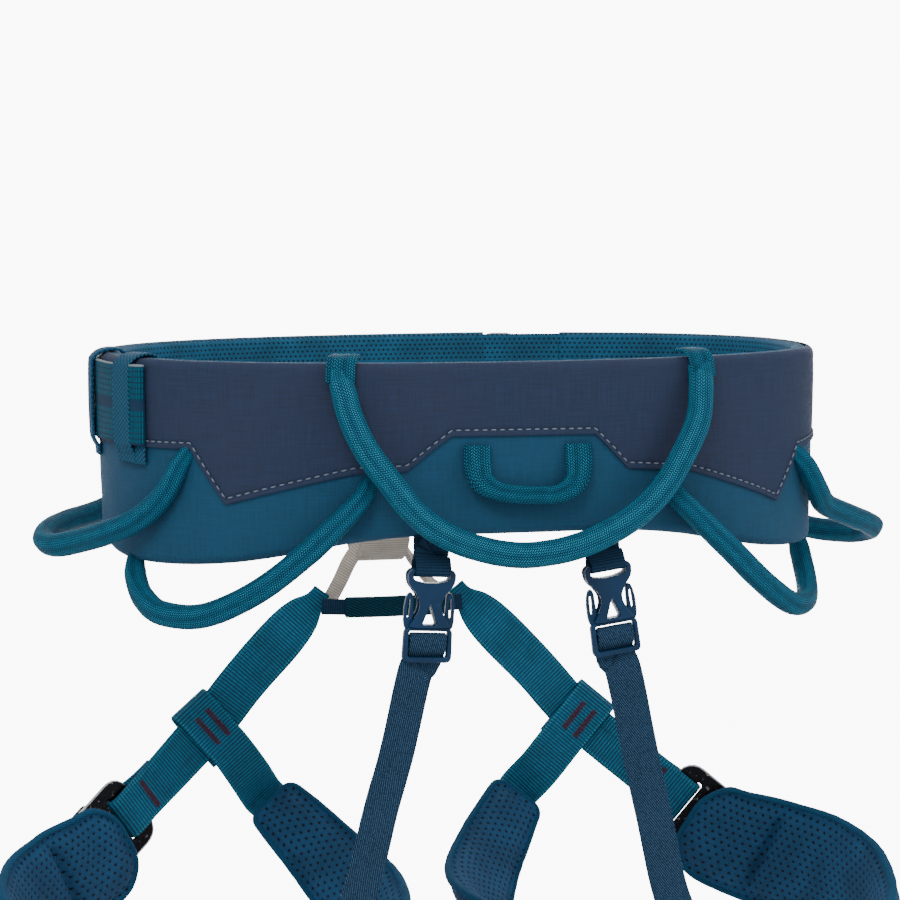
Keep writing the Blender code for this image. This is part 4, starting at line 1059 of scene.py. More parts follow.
def tie_in():
    theta = front_theta(-TIE_IN_X)
    half = [(ring(theta, 2.1, z), ring_normal(theta), 14.0) for z in (30.0, 14.0, -1.5)]
    strap("tie_in_loop_upper", both_halves(half + list(UPPER_LOOP_HALF), ((0, 118.0, -22.0), (0, 0, -1), 11.0)),
          14.0, TIE_IN_THICK, MAT["tie_in"], ROOT, "tie_in_webbing", ("upper_tie_in_loop",), pitch=1.4)
    strap("tie_in_bridge_lower", list(LOWER_BRIDGE), 11.0, TIE_IN_THICK, MAT["tie_in"], ROOT, "tie_in_webbing",
          ("lower_tie_in_bridge",), pitch=1.4)
    tacks = Parts()
    for side in (-1, 1):
        at = front_theta(TIE_IN_X * side)
        for z in (26.0, 18.0, 2.0):
            bartack(tacks, ring(at, 3.3, z), (1, 0, 0), ring_normal(at), 11.0, 2.4)
    tacks.piece("tie_in_bartacks", MAT["maroon"], ROOT, "tie_in_webbing")
    ends = [((x, SLEEVE_Y, z), (0, -1, 0)) for x, z in ((-36, -94.2), (-15, SLEEVE_Z), (15, SLEEVE_Z), (36, -94.2))]
    strap("crotch_strap_webbing", ends, 8.0, 1.6, MAT["dark"], ROOT, "dark_webbing", ("crotch_keeper_strap",),
          pitch=1.2, rib=0.08)
    sections = []
    xs = np.concatenate(((-24.0, -23.8, -23.3), np.linspace(-22.8, 26.8, 40), (27.3, 27.8, 28.0)))
    for x in xs:
        end = min(x - xs[0], xs[-1] - x)
        grow = 0.9 + 0.1 * min(1.0, end / 0.7)
        profile = strap_profile(10.4 * grow, 4.2 * grow, 12, 5)
        sag = 0.12 * float(hash_noise(x / 5.0, 2.0))
        sections.append([(x, SLEEVE_Y - o * (1 + sag * 0.3), SLEEVE_Z + s + sag) for s, o in profile])
    Parts().loft(np.array(sections), xs, strap_profile(10.4, 4.2, 12, 5)[:, 0]).piece(
        "crotch_sleeve", MAT["dark_smooth"], ROOT, "dark_webbing", ("crotch_keeper_sleeve",))


def belay_loop():
    points, normals = [], []
    for start, z in ((0, -31.7), (180, -53.7)):
        for angle in np.radians(np.linspace(start, start + 180, 40)):
            normals.append((0, cos(angle), sin(angle)))
            points.append((BELAY_X, BELAY_Y + BELAY_BEND * cos(angle), z + BELAY_BEND * sin(angle)))
    rows = np.hstack((points, normals))
    rows = resample(np.vstack((rows, rows[:1])), 0.4)[:-1]
    points, normals = rows[:, :3], unit(rows[:, 3:])
    parts = Parts()
    # three plies sewn together
    for lift in (-PLY, 0.0, PLY):
        sections, u, v = ribbed_strap(points + normals * lift, normals, BELAY_WIDTH, PLY, 1.5, 0.1, closed=True)
        parts.loft(sections, u, v, closed=True)
    parts.piece("belay_loop_webbing", MAT["tie_in"], "belay", "tie_in_webbing", ("belay_loop",))
    tacks = Parts()
    for facing in (1.0, -1.0):
        for z in (-34.0, -39.0, -48.0, -53.0):
            bartack(tacks, (BELAY_X, BELAY_Y + facing * (BELAY_BEND + 2.6), z), (1, 0, 0), (0, facing, 0), 20.0, 2.4)
    tacks.piece("belay_loop_bartacks", MAT["maroon"], "belay", "tie_in_webbing")


tie_in()
belay_loop()


# ---------------------------------------------------------------- gear loops and haul loop

TAPE_ANGLES = {-1: -24.6, 1: 25.4}
REAR_LOOP = (
    (-82.1, -99.2, 27.5), (-79.6, -102.4, 16.1), (-73.9, -105.5, 3.1), (-64.7, -108, -10), (-52.5, -111, -25.4),
    (-39.1, -113.5, -35.1), (-23.6, -115, -41), (-5.6, -116, -44), (14.5, -115, -42.2), (31.2, -113.5, -37.2),
    (48.7, -111, -28.4), (63, -108, -16.1), (74.4, -105, 0.7), (80.9, -102.4, 13.8), (83.0, -99.2, 27.5),
)
SIDE_REAR_LOOPS = {
    -1: ((20.6, -2.0, -12), (21.0, 4.5, -18), (23.8, 7, -27), (30, 7.5, -43), (39, 8, -60), (50, 7, -71),
         (61, 6, -71.5), (68.5, 3.5, -66), (74, 0, -58.5), (77, -3, -51), (78, -5.5, -43)),
    1: ((19.0, -2.0, -13), (19.6, 4.5, -19), (22.6, 7, -28), (29.5, 7.5, -44), (39, 7.5, -63), (50, 6, -75.5),
        (61, 3.5, -76), (68.5, 0.5, -70), (74, -2.5, -61), (77, -4.5, -52), (78, -6, -43)),
}
FRONT_LOOPS = {
    -1: ((141.3, -60.3, 1.5), (147.0, -60.3, -6), (151.0, -58.7, -14.5), (156, -54, -23), (163.5, -46, -31),
         (173.3, -35, -37), (183.5, -18, -42.5), (191.8, -5, -45.5), (194.5, 8, -45), (190, 21, -41.5),
         (179, 37, -39.5), (165, 52, -38), (152, 63, -35), (141, 70, -30), (127, 75, -22)),
    1: ((141.3, -60.3, -4.5), (148.3, -60.3, -12), (153, -58, -19), (158, -53.2, -26), (166, -43, -33.5),
        (184, -27, -40.5), (201, -9, -46.5), (210, 6, -51), (206, 24, -54.5), (193, 42, -54), (174, 57, -48.5),
        (155, 66.5, -40), (141, 72, -32), (127, 76, -24)),
}
# half width, half depth, and how far each loop narrows at its sewn ends
LOOP_SIZES = {"rear": (5.7, 4.9, 0.95), "side": (5.3, 4.9, 0.7), "front": (5.3, 4.7, 0.7)}
# where a front loop starts to bend beside the belt, and where it has left it
FRONT_BEND = ((145.0, 0, -30.0), (172.0, 0, -30.0))
NECK_LENGTH = 34.0
FLAT_LENGTH = 14.0
BLUNT_LENGTH = 1.2


def gear_loop(name, body, controls, wide, deep, neck, material, grooves=0):
    """A braided sheath filled by its cord; neck is how far it narrows at its sewn ends."""
    points = spline(controls, 0.6)
    lengths = arc_lengths(points)
    end = np.minimum(lengths, lengths[-1] - lengths)
    angles = circle(44)
    along = tangents(points)
    side = unit(np.cross(along[0], (0.13, -1.0, 0.21)))
    sides = []
    for direction in along:
        side = unit(side - direction * float(side @ direction))
        sides.append(side)
    side = np.array(sides)
    up = np.cross(along, side)
    spread = neck + (1 - neck) * np.clip(end / NECK_LENGTH, 0, 1) ** 0.8
    flat = 0.5 + 0.5 * np.clip(end / FLAT_LENGTH, 0, 1) ** 0.8
    blunt = np.sqrt(np.clip(1 - (1 - np.clip(end / BLUNT_LENGTH, 0, 1)) ** 2, 0.02, 1))
    a = (wide * spread * blunt)[:, None]
    b = (deep * flat * blunt)[:, None]
    # slightly squared section, with shallow grooves along it and an uneven hand
    c, s = np.cos(angles), np.sin(angles)
    square = (np.abs(c) ** 2.6 + np.abs(s) ** 2.6) ** (-1 / 2.6)
    relief = 1 + 0.012 * hash_noise(lengths[:, None] / 6.0, angles[None] * 1.5)
    if grooves:
        relief = relief - 0.022 * (0.5 + 0.5 * np.cos(angles * grooves))[None]
    sections = (points[:, None, :] + side[:, None, :] * (a * c * square * relief)[:, :, None]
                + up[:, None, :] * (b * s * square * relief)[:, :, None])
    girth = 2 * pi * (wide + deep) / 2
    parts = Parts().loft(sections, lengths, angles / (2 * pi) * girth, girth)
    return parts.piece(name + "_sheath", material, body, "braid", (name, name + "_core"))


def gear_loops():
    left, right = TAPE_ANGLES[-1], TAPE_ANGLES[1]
    gear_loop("gear_loop_rear", "gear_rear",
              [ring(left, 1.9, 38), ring(left, 3.0, 33), *REAR_LOOP, ring(right, 3.0, 33), ring(right, 1.9, 38)],
              *LOOP_SIZES["rear"], MAT["braid_big"], grooves=12)
    for side, label in SIDES:
        gear_loop(f"gear_loop_{label}_rear", f"gear_{label}_rear",
                  [ring(side * t, out, z) for t, out, z in SIDE_REAR_LOOPS[side]], *LOOP_SIZES["side"],
                  MAT["braid"])
        # both ends of each front loop are sewn in beside the belt
        front = gear_loop(f"gear_loop_{label}_front", None, [flip(p, side) for p in FRONT_LOOPS[side]],
                          *LOOP_SIZES["front"], MAT["braid"])
        start, end = (tuple(flip(p, side) * MM) for p in FRONT_BEND)
        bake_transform(front)
        theta = TAPE_ANGLES[side]
        normal = ring_normal(theta)
        up = np.array((0.0, 0.0, 1.0))
        controls = [(ring(theta, -7.0, 42.9), up, 12.5), (ring(theta, -2.5, 43.0), up, 12.5),
                    (ring(theta, 1.6, 41.6), unit(up + normal), 12.8), (ring(theta, 3.4, 39.0), normal, 12.8),
                    (ring(theta, 4.2, 35.5), normal, 12.8), (ring(theta, 5.0, 31.5), normal, 12.6)]
        strap(f"gear_loop_tape_{label}_band", controls, 12.5, 1.8, MAT["tape"], ROOT, "braid",
              (f"gear_loop_tape_{label}",), pitch=1.1, rib=0.1)


def haul_loop():
    rear = (0, -1, 0)
    turned = (0, -1, 0.3)
    controls = (
        ((-21.7, -100.3, 3.2), rear, 12.4), ((-22.0, -101.8, -5.0), rear, 12.4), ((-20.3, -103.4, -12.3), rear, 11.0),
        ((-12.5, -105.0, -16.9), turned, 8.5), ((1.0, -105.6, -18.6), turned, 8.0),
        ((15.0, -105.0, -18.4), turned, 8.5), ((23.3, -103.4, -13.2), rear, 11.0), ((25.0, -101.8, -5.0), rear, 12.4),
        ((25.0, -100.3, 3.0), rear, 12.4),
    )
    strap("haul_loop_webbing", list(controls), 12.0, 1.8, MAT["tape"], "haul", "webbing", ("haul_loop",),
          pitch=1.3, rib=0.05)


gear_loops()
haul_loop()


# ---------------------------------------------------------------- rear buckles and elastic

FEMALE_SIDE = ((3.0, -16.0), (9.2, -16.0), (11.0, -14.0), (10.6, -9.5), (6.6, -5.0), (4.8, -1.5), (5.2, 2.0),
               (7.4, 5.6), (9.8, 9.0), (6.0, 9.4))
CORE_SIDE = ((3.0, -15.7), (9.0, -15.7), (10.7, -13.8), (10.3, -9.6), (7.2, -6.2), (3.9, -6.1), (3.7, -1.5),
             (3.7, 2.0), (3.8, 9.1))
PRONG = ((7.0, 10.0), (10.7, 10.0), (11.5, 7.0), (11.5, 1.0), (10.9, -3.0), (9.9, -5.4), (8.4, -5.8),
         (7.6, -4.0), (7.5, 0.0), (7.2, 6.0))
PRONG_HOLE = ((8.8, -2.8), (9.9, -3.0), (10.2, 0.5), (10.2, 5.0), (9.2, 5.2), (8.8, 1.0))
ELASTIC_RUN = {
    -1: ((-50.2, -98.0, -98.0), (-56.6, -93.0, -132.3), (-63.1, -90.0, -158.0), (-73.0, -86.5, -199.0)),
    1: ((47.2, -98.0, -99.5), (57.3, -92.5, -138.0), (65.8, -89.0, -170.0), (75.2, -86.0, -206.0)),
}
BUCKLE_X = 42.0
BUCKLE_SHIFT = -1.9
BUCKLE_Y = -100.3
BUCKLE_Z = -66.8
BUCKLE_STRETCH = 1.03
BUCKLE_THETA = 10.4
STUB_WIDTH = 16.0
ELASTIC_WIDTH = 16.7
ELASTIC_THICK = 1.4
ELASTIC_FOOT = (91.0, -79.0, -252.0)
ELASTIC_DRIFT = {-1: 1.6, 1: -0.8}
PLUG_DOWN = {-1: (-0.055, 0.014, -0.998), 1: (0.14, 0.014, -0.99)}
SOCKET_SLOT = ((8.6, -14.2), (8.2, -11.2), (3.0, -9.9))
SOCKET_WINDOW = ((0, -0.9), (3.4, 8.0), (-3.4, 8.0))


def both_sides(half):
    return [(w, d) for w, d in half] + [(-w, d) for w, d in reversed(half)]


class RearBuckle:
    """One side's buckle: its own w across, d down and n outwards, and the straps that it joins."""

    def __init__(self, side, label):
        self.side = side
        self.label = label
        self.origin = np.array((BUCKLE_X * side + BUCKLE_SHIFT, BUCKLE_Y, BUCKLE_Z))
        self.down = unit(PLUG_DOWN[side])
        out = np.array((0.0, -1.0, 0.0))
        self.out = unit(out - self.down * float(out @ self.down))
        across = np.array((float(side), 0.0, 0.0))
        self.across = unit(across - self.down * float(across @ self.down) - self.out * float(across @ self.out))

    def place(self, w, d, n):
        return self.origin + self.across * w + self.down * (d * BUCKLE_STRETCH) + self.out * n

    def finish(self, parts, part, body):
        crisp(parts.piece(f"buckle_{part}_{self.label}", MAT["plastic"], body, "buckle_plastic",
                          (f"rear_buckle_{part}_{self.label}",)))

    def moulding(self, parts, loops, low, high, bevel):
        return moulded(parts, loops, low, high, bevel, self.place)

    def shells(self):
        socket = Parts()
        slot = fillet(both_sides(SOCKET_SLOT), 1.2)
        window = fillet(SOCKET_WINDOW, 1.0)
        body = fillet(both_sides(FEMALE_SIDE), 2.2)
        for low, high in ((1.45, 3.1), (-3.1, -1.45)):
            self.moulding(socket, [body, slot, window], low, high, 0.55)
        self.moulding(socket, [fillet(both_sides(CORE_SIDE), 1.2), slot, window], -1.6, 1.6, 0.12)
        self.finish(socket, "socket", ROOT)
        frame_loop = fillet(((-10.9, 9.2), (10.9, 9.2), (11.2, 24.4), (-11.2, 24.4)), 3.0, 8)
        opening = fillet(((-8.9, 10.8), (8.9, 10.8), (8.9, 22.0), (-8.9, 22.0)), 0.9)
        plug = self.moulding(Parts(), [frame_loop, opening], -2.0, 2.0, 0.75)
        bar = fillet(((-9.6, 13.0), (9.6, 13.0), (9.6, 14.8), (-9.6, 14.8)), 0.5)
        self.moulding(plug, [bar], -0.9, 0.9, 0.4)
        self.finish(plug, "plug", f"plug_{self.label}")
        for sign, hand in ((-1, "inner"), (1, "outer")):
            loops = [fillet([(w * sign, d) for w, d in outline], radius)
                     for outline, radius in ((PRONG, 1.0), (PRONG_HOLE, 0.6))]
            self.finish(self.moulding(Parts(), loops, -1.25, 1.25, 0.4), f"prong_{hand}",
                        f"prong_{hand}_{self.label}")

    def stub(self):
        """The short webbing that hangs the socket from the belt."""
        out, down, place = self.out, self.down, self.place
        theta = BUCKLE_THETA * self.side - 0.6
        controls = [(ring(theta, shift, z), ring_normal(theta))
                    for shift, z in ((-2.3, -33.0), (-2.3, -38.0), (-2.2, -43.0))]
        controls += [
            (place(0, -22.0, 0.6), out), (place(0, -17.4, 3.8), out), (place(0, -14.6, 4.0), (out + down) / 2),
            (place(0, -13.2, 1.6), down), (place(0, -13.2, -1.6), down),
            (place(0, -14.6, -4.0), (down - out) / 2), (place(0, -17.4, -3.8), -out),
            (place(0, -22.0, -1.9), -out), (place(0, -26.0, -1.8), -out),
        ]
        strap(f"rear_stub_{self.label}", controls, STUB_WIDTH, 1.2, MAT["dark"], ROOT, "dark_webbing",
              (f"rear_webbing_{self.label}",), pitch=1.1, rib=0.1, path_pitch=0.3)

    def elastic(self):
        """The elastic from the plug's bar down to the leg pad."""
        side, out, down, place = self.side, self.out, self.down, self.place
        rear = unit(np.array((side * -0.1, -1.0, 0.0)))
        seat = unit(np.array((side * 0.3, -0.95, 0.0)))
        controls = [
            (place(0, 24.0, -4.7), -out), (place(0, 20.0, -4.2), -out),
            (place(0, 15.6, -1.9), (-out * 1.5 - down)), (place(0, 12.1, 0), -down),
            (place(0, 14.4, 1.9), out), (place(0, 18.0, 1.2), out), (place(0, 20.6, -0.6), (out + down * 0.6)),
            (place(0, 22.6, -2.2), (out + down * 0.4)), (place(ELASTIC_DRIFT[side], 25.6, -3.0), out),
            *((np.array(point), rear) for point in ELASTIC_RUN[side]),
            (flip((90.0, -83.5, -236.0), side), rear), (flip((90.5, -80.6, -248.5), side), seat),
            (flip((91.0, -79.3, -256.0), side), seat), (flip((91.0, -79.0, -265.0), side), seat),
        ]
        # it is made as two runs that meet, the upper one from the plug and the lower one down to the pad
        dense = spline([(*p, *n) for p, n in controls], 0.6)
        cut = int(np.argmin(np.linalg.norm(dense[:, :3] - np.array(ELASTIC_RUN[side][1]), axis=1)))
        for run, rows, body, end, nodes in (
            ("upper", dense[: cut + 1], f"plug_{self.label}", place(0, 26.0, 0), (f"rear_elastic_{self.label}",)),
            ("lower", dense[cut:], f"leg_{self.label}", flip(ELASTIC_FOOT, side), ()),
        ):
            piece = strap(f"elastic_{run}_{self.label}", [(row[:3], unit(row[3:])) for row in rows], ELASTIC_WIDTH,
                          ELASTIC_THICK, MAT["elastic"], None, "elastic", nodes, pitch=0.95, rib=0.04,
                          path_pitch=0.5)
            tuple(end * MM)
            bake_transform(piece)


for hand, name in SIDES:
    buckle = RearBuckle(hand, name)
    buckle.shells()
    buckle.stub()
    buckle.elastic()


# ---------------------------------------------------------------- leg loops

# each leg hangs a little differently: the buckle, the junction, and the shifts of the pad's two tips
LEG_BUCKLES = {-1: (145.0, 93.0, -195.5), 1: (151.0, 92.0, -202.0)}
LEG_JUNCTIONS = {-1: (94.0, 117.0, -151.5), 1: (98.0, 117.0, -155.0)}
TIP_SHIFTS = {-1: ((0.0, 0.0, 4.5), (-9.5, 2.0, -3.0)), 1: ((0.0, 0.0, 1.0), (-4.0, 1.0, -9.0))}
BUCKLE_FACINGS = {-1: (-0.30, 0.954, 0.0), 1: (0.393, 0.92, 0.0)}
RISER_FACINGS = {-1: (0.25, 0.97, 0.0), 1: (0.0, 1.0, 0.0)}
RISER_WIDTH = 23.0
RISER_THICK = 1.8
LEG_BUCKLE_WIDTH = 38.0
LEG_STRAP_WIDTH = 22.0
LEG_STRAP_THICK = 1.4
LEG_WEB = 2.6
LEG_PAD = (
    (64, 110, -193, 13.8), (56, 101, -201, 15.6), (41, 80, -217, 18.5), (29, 48, -233, 23), (27, 10, -248, 28),
    (37, -28, -264, 33), (60, -57, -277, 35), (97, -74, -285, 35.5), (140, -74, -283, 35.5),
    (180, -58, -272, 35), (206, -30, -258, 34), (214, 6, -243, 33), (207, 40, -229, 31), (190, 64, -217, 28),
    (172, 76, -208.5, 26), (160, 82, -202, 24.5), (151, 86.3, -196, 22),
)
RISER_FOOT = (
    ((34.5, 122.2, -87.0), 9.0), ((38.5, 122.0, -92.0), 11.0), ((45.0, 121.5, -98.5), 19.0),
    ((55.0, 120.6, -108.8), RISER_WIDTH), ((75.0, 118.8, -129.5), RISER_WIDTH),
)
WRAP = (
    (17, 3.3, 0, -1), (6, 3.3, 0, -1), (-10, 3.3, 0, -1), (-13.8, 2.4, 1, -0.4), (-15.0, 0, 1, 0),
    (-13.8, -2.4, 1, 0.4), (-10, -3.3, 0, 1), (6, -3.3, 0, 1), (16, -3.3, 0, 1),
)
LEG_KEEPER_RISE = ((-17, 6.2), (-13.5, 7.8), (-11.5, 8.8), (0, 8.9), (11.5, 8.8), (13.5, 7.8), (17, 6.2))
TAIL_LIFTS = (9.8, 7.4, 6.8, 6.8)
# degrees of lean at the pad's inner tip, where along it the lean ends, and over what length it fades
PAD_BANKS = {-1: (40.0, 150.0, 120.0), 1: (44.0, 190.0, 125.0)}
# how far the pad moves inwards, at this distance from its tip and over this reach
PAD_SHIFT = {-1: 0.0, 1: 5.0}
PAD_SHIFT_AT = 85.0
PAD_SHIFT_REACH = 45.0
INNER_REACH = 70.0
OUTER_REACH = 110.0
LEG_CENTRE = (122.0, 21.0)
INNER_CORNER = 4.5
OUTER_CORNER = 15.0


def pad_frames(side, count=0):
    """Points, outward normals, width directions, half widths and lengths along the pad."""
    dense = spline(LEG_PAD, 0.5)
    lengths = arc_lengths(dense[:, :3])
    inner, outer = TIP_SHIFTS[side]
    for shift, reach, far in ((inner, INNER_REACH, lengths), (outer, OUTER_REACH, lengths[-1] - lengths)):
        weight = np.clip(1 - far / reach, 0, 1)
        dense[:, :3] += (weight * weight * (3 - 2 * weight))[:, None] * np.array(shift)
    dense[:, 0] -= PAD_SHIFT[side] * np.exp(-(((lengths - PAD_SHIFT_AT) / PAD_SHIFT_REACH) ** 2))
    lengths = arc_lengths(dense[:, :3])
    if count:
        distances = np.linspace(0, lengths[-1], count)
    else:
        start = np.array((0.0, 0.3, 0.9, 1.8, 3.0, 4.5, 6.5))
        crease = lengths[-1] - 56.0
        distances = np.concatenate((start, np.arange(8.0, crease, 2.4),
                                    np.arange(crease, lengths[-1] - 8.0, 1.0), lengths[-1] - start[::-1]))
    rows = np.stack([np.interp(distances, lengths, dense[:, k]) for k in range(4)], axis=1)
    heading = tangents(dense[:, :3])
    along = unit(np.stack([np.interp(distances, lengths, heading[:, k]) for k in range(3)], axis=1))
    up = unit(np.array((0.0, 0.0, 1.0)) - along * along[:, 2:3])
    out = unit(np.cross(up, along))
    away = rows[:, :2] - np.array(LEG_CENTRE)
    out = out * np.sign(np.sum(out[:, :2] * away, axis=1))[:, None]
    lean, last, ease = PAD_BANKS[side]
    bank = np.clip((last - distances) / ease, 0, 1)[:, None]
    bank = np.radians(lean) * bank * bank * (3 - 2 * bank)
    up, out = up * np.cos(bank) + out * np.sin(bank), out * np.cos(bank) - up * np.sin(bank)
    mirror = np.array((side, 1.0, 1.0))
    return rows[:, :3] * mirror, out * mirror, up * mirror, rows[:, 3], distances, lengths[-1]


def rounded_half(half, distance, total):
    """The pad's half width, with its corners rounded at both ends."""
    for corner, far in ((INNER_CORNER, distance), (OUTER_CORNER, total - distance)):
        end = np.clip(far, 0, corner)
        half = half - corner + np.sqrt(np.maximum(corner**2 - (corner - end) ** 2, 0.0))
    return half


def leg_pad(side, label):
    body = f"leg_{label}"
    points, out, up, half, distance, total = pad_frames(side)
    half = rounded_half(half, distance, total)
    # across the pad, as distances in from its edge
    inset = np.array((0.5, 1.4, 2.6, 3.6, 4.4, 5.2, 6.4, 8.0, 10.0))
    sections, vs = [], []
    for p, n, w, h, d in zip(points, out, up, half, distance):
        near = inset if h > 12 else inset * h / 12
        middle = np.linspace(near[-1], 2 * h - near[-1], 20)[1:-1]
        across = np.concatenate((near, middle, 2 * h - near[::-1]))
        end = min(d, total - d)
        rim = np.minimum(np.minimum(across, 2 * h - across), end + 0.5)
        puff = 1 - np.exp(-np.maximum(rim - 3.9, 0.0) / 4.2)
        fold = np.exp(-((rim - 4.0) / 0.7) ** 2) * 0.5
        bumps = hash_noise(d / 17.0, across / 15.0, 3.0 + side) * 0.5 + hash_noise(d / 6.5, across / 7.0, 8.0) * 0.16
        outer = 1.9 + 3.9 * puff - fold + bumps * puff
        inner = -1.6 - 3.7 * puff + fold + hash_noise(d / 15.0, across / 13.0, 6.0 + side) * 0.5 * puff
        # the free face creases where the pad bends before the buckle
        valley = d - total + 41.0 + 0.22 * (across - h)
        crease = np.exp(-np.abs(valley / 2.6) ** 1.3) * np.clip((rim - 4.0) / 8.0, 0, 1)
        swell = np.exp(-((valley - 9.0) / 8.0) ** 2) + np.exp(-((valley + 9.0) / 8.0) ** 2)
        inner = inner + 5.2 * crease - 0.9 * swell * puff
        s = across - h
        sections.append(np.concatenate((p + w * s[:, None] + n * outer[:, None],
                                        (p + w * s[:, None] + n * inner[:, None])[::-1])))
        vs.append(np.concatenate((s, s[::-1])))
    pad = Parts().loft(np.array(sections), distance, np.array(vs)).piece(
        f"leg_pad_{label}", MAT["leg_mesh"], body, "mesh_fabric",
        (f"leg_foam_{label}", f"leg_liner_{label}", f"leg_shell_{label}"))
    # binding tape sewn round the edge
    edge = [p + w * (h - 1.0) for p, w, h in zip(points, up, half)]
    other = [p - w * (h - 1.0) for p, w, h in zip(points, up, half)]
    loop = np.hstack((np.array(edge + other[::-1]), np.vstack((out, out[::-1]))))
    loop = resample(np.vstack((loop, loop[:1])), 0.8)[:-1]
    angles = circle(16)
    profile = oval(angles, 1.9, 2.3 * (1 - 0.25 * np.abs(np.cos(angles))))
    around = arc_lengths(loop[:, :3])
    wobble = 1 + 0.05 * hash_noise(around / 4.0, 1.0 + side)
    rows = sweep(loop[:, :3] + loop[:, 3:] * 0.1, unit(loop[:, 3:]), profile[None] * wobble[:, None, None],
                 closed=True)
    Parts().loft(rows, around, angles * 2.1, 2 * pi * 2.1, closed=True).piece(
        f"leg_pad_binding_{label}", MAT["bind"], body, "mesh_fabric")


def leg_loop(side, label):
    body = f"leg_{label}"
    leg_pad(side, label)
    centre = flip(LEG_BUCKLES[side], side)
    junction = flip(LEG_JUNCTIONS[side], side)
    along = unit(junction - centre)
    out = np.array(BUCKLE_FACINGS[side])
    out = unit(out - along * float(out @ along))
    place, direction = buckle_place(centre - out * 1.2, along, out, 0.8)
    two_plate_buckle(f"leg_buckle_{label}", place, LEG_BUCKLE_WIDTH, body, f"leg_slider_{label}", corner=12.0,
                     reach=27.0, side_bar=6.6, slots=((-9.8, -6.0), (6.0, 10.0)), top=23.5)

    front = np.array(RISER_FACINGS[side])
    run = unit(place(32, 1.2, 0) - flip(RISER_FOOT[-1][0], side))
    across_riser = unit(front - run * float(front @ run))
    controls = [(flip(p, side), front, width) for p, width in RISER_FOOT]
    controls.append((junction, across_riser, RISER_WIDTH))
    controls += [(p, n, RISER_WIDTH) for p, n in route(ANCHOR_ROUTE, place, direction)]
    controls += [(place(u, h, 0), -out, RISER_WIDTH) for u, h in ((22, 7.3), (33, 4.4), (45, 3.6))]
    strap(f"leg_riser_{label}_webbing", controls, RISER_WIDTH, RISER_THICK, MAT["web"], body, "webbing",
          (f"leg_riser_{label}",), pitch=1.6, rib=0.2)

    frames = list(zip(*pad_frames(side, count=29)[:4]))
    tip = frames[0][0] + frames[0][1] * LEG_WEB
    down = unit(tip - junction)
    down = unit(down - across_riser * float(down @ across_riser))
    entry = unit(frames[1][0] - frames[0][0])
    controls = [(junction + down * k + across_riser * lift, down * nd + across_riser * nr)
                for k, lift, nd, nr in WRAP]
    controls += [(junction * 0.35 + tip * 0.65 - across_riser, frames[0][1]),
                 (tip - entry * 7 + frames[0][1] * 2.5, frames[0][1]), (tip + entry * 2, frames[0][1]),
                 (frames[1][0] + frames[1][1] * LEG_WEB, frames[1][1])]
    strap(f"leg_strap_{label}_front", controls, LEG_STRAP_WIDTH, LEG_STRAP_THICK, MAT["web"], body, "webbing",
          (f"leg_strap_{label}",), pitch=1.6, rib=0.16)
    point, normal = frames[-2][:2]
    before = frames[-3]
    controls = [(before[0] + before[1] * 5.0, before[1]), (point + normal * 5.8, normal)]
    controls += route(STRAP_ROUTE, place, direction)
    controls.append((point + normal * 15.4, -normal))
    controls += [(f[0] + f[1] * lift, -f[1]) for f, lift in zip(reversed(frames[-6:-2]), TAIL_LIFTS)]
    strap(f"leg_strap_{label}_tail", controls, LEG_STRAP_WIDTH, LEG_STRAP_THICK, MAT["web"], body, "webbing",
          pitch=1.6, rib=0.16)
    point, normal, up = frames[-5][:3]
    strap(f"leg_keeper_{label}_band", [(point + up * w + normal * lift, normal) for w, lift in LEG_KEEPER_RISE],
          9.0, 1.0, MAT["keeper"], body, "elastic", (f"leg_keeper_{label}",), pitch=2.4, rib=0.05)
    leg_tacks(label, body, junction, down, across_riser, place, out)


def leg_tacks(label, body, junction, down, across_riser, place, out):
    """Two bars through the wrap at the junction, and one where the riser is folded back on itself."""
    tacks = Parts()
    riser = unit(np.cross(down, across_riser))
    for offset in (-2.8, 4.2):
        centre = junction + down * 1.5 + riser * offset - across_riser * 4.1
        bartack(tacks, centre, down, -across_riser, 16.5, 3.2)
    w = unit(place(0, 0, 1) - place(0, 0, 0))
    bartack(tacks, place(31, 0.1, 0), w, -out, 16.0, 3.0)
    tacks.piece(f"leg_bartacks_{label}", MAT["maroon"], body, "webbing")


for hand, name in SIDES:
    leg_loop(hand, name)


# ---------------------------------------------------------------- camera, light and floor

CAMERA_AZIMUTH = -16.5
CAMERA_ELEVATION = 5.0
CAMERA_DISTANCE = 1.8
CAMERA_RIGHT = -0.00443
CAMERA_UP = -0.00755
VIEW_WIDTH = 0.4194
SENSOR = 36.0
BACKDROP_TOWARD = (0.283, 0.955, -0.087)
ROOM_LIGHT = 0.9
BACKDROP_LIGHT = 10.0
FLOOR_RADIUS = 0.56
FLOOR_Z = -0.345


def add_camera():
    az, el = radians(CAMERA_AZIMUTH), radians(CAMERA_ELEVATION)
    back = Vector((sin(az) * cos(el), -cos(az) * cos(el), sin(el)))
    right = Vector((cos(az), sin(az), 0.0))
    up = Vector((-sin(az) * sin(el), cos(az) * sin(el), cos(el)))
    data = bpy.data.cameras.new("camera")
    data.sensor_width = SENSOR
    data.lens = SENSOR * CAMERA_DISTANCE / VIEW_WIDTH
    camera = bpy.data.objects.new("camera", data)
    bpy.context.scene.collection.objects.link(camera)
    matrix = Matrix((right, up, back)).transposed().to_4x4()
    matrix.translation = back * CAMERA_DISTANCE + (right * CAMERA_RIGHT + up * CAMERA_UP)
    camera.matrix_world = matrix
    bpy.context.scene.camera = camera


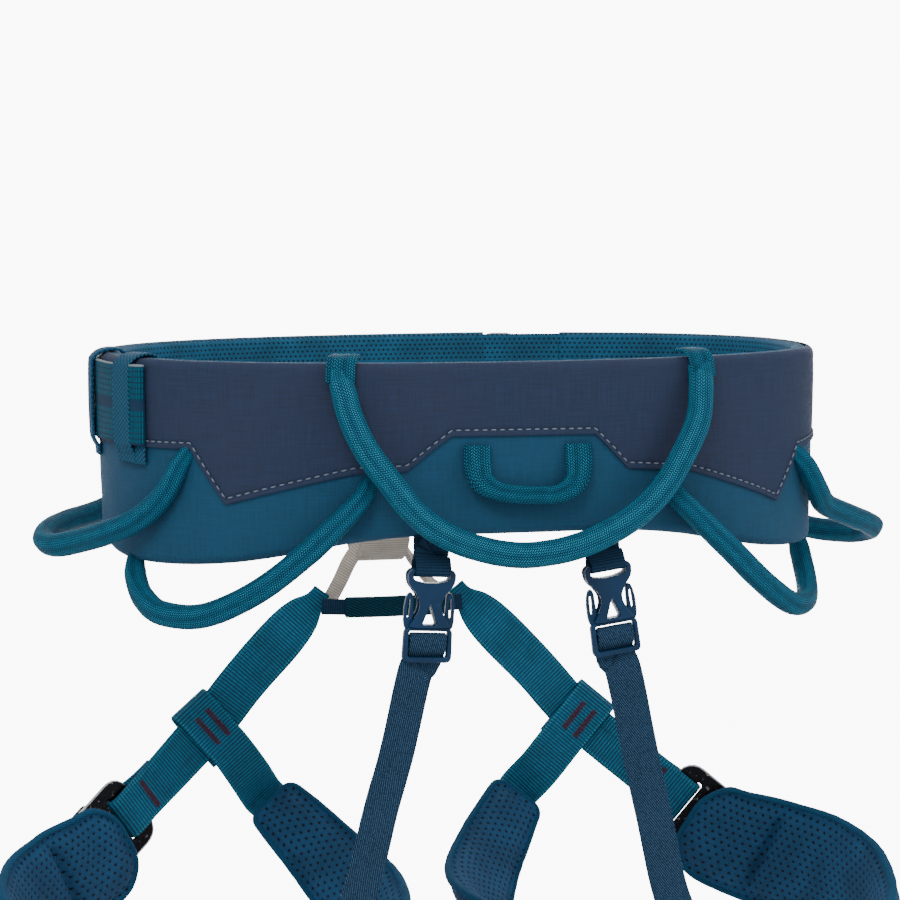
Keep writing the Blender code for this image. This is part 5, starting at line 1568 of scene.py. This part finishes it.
def area_light(name, place, target, size, power, colour=(1, 1, 1)):
    data = bpy.data.lights.new(name, "AREA")
    data.shape = "DISK"
    data.size = size
    data.energy = power
    data.color = colour
    light = bpy.data.objects.new(name, data)
    light.location = place
    light.rotation_euler = (Vector(target) - Vector(place)).to_track_quat("-Z", "Y").to_euler()
    bpy.context.scene.collection.objects.link(light)


def studio():
    world = bpy.data.worlds.new("studio")
    world.use_nodes = True
    # an even white room, with a bright backdrop behind the harness
    tree = world.node_tree
    background = tree.nodes["Background"]
    background.inputs["Color"].default_value = (1.0, 1.0, 1.0, 1.0)
    toward = tree.nodes.new("ShaderNodeVectorMath")
    toward.operation = "DOT_PRODUCT"
    toward.inputs[1].default_value = Vector(BACKDROP_TOWARD).normalized()
    tree.links.new(tree.nodes.new("ShaderNodeTexCoord").outputs["Generated"], toward.inputs[0])
    spread = tree.nodes.new("ShaderNodeMapRange")
    spread.interpolation_type = "SMOOTHSTEP"
    spread.inputs["From Min"].default_value = cos(radians(30.0))
    spread.inputs["From Max"].default_value = cos(radians(12.0))
    spread.inputs["To Min"].default_value = ROOM_LIGHT
    spread.inputs["To Max"].default_value = BACKDROP_LIGHT
    tree.links.new(toward.outputs["Value"], spread.inputs["Value"])
    tree.links.new(spread.outputs["Result"], background.inputs["Strength"])
    bpy.context.scene.world = world
    area_light("key", (-0.9, -1.5, 1.5), (0, 0, -0.05), 0.9, 24.0, (1.0, 0.985, 0.96))
    area_light("fill", (1.5, -1.2, 0.6), (0, 0, -0.1), 1.2, 8.0, (0.95, 0.98, 1.0))
    area_light("rim", (0.5, 1.5, 1.2), (0, 0, 0), 1.0, 10.0)
    mesh = bpy.data.meshes.new("floor")
    rim = [(FLOOR_RADIUS * cos(a), FLOOR_RADIUS * sin(a), FLOOR_Z) for a in circle(96)]
    mesh.from_pydata(rim, [], [tuple(range(len(rim)))])
    floor = bpy.data.objects.new("floor", mesh)
    cloth = Cloth("floor_paper", 0.9, tone=1.0)
    tint = cloth.noise(3.0, 2.0, solid=True)
    mesh.materials.append(cloth.finish(cloth.mix(tint, (0.86, 0.86, 0.86), (0.9, 0.9, 0.9))))
    bpy.context.scene.collection.objects.link(floor)


add_camera()
studio()
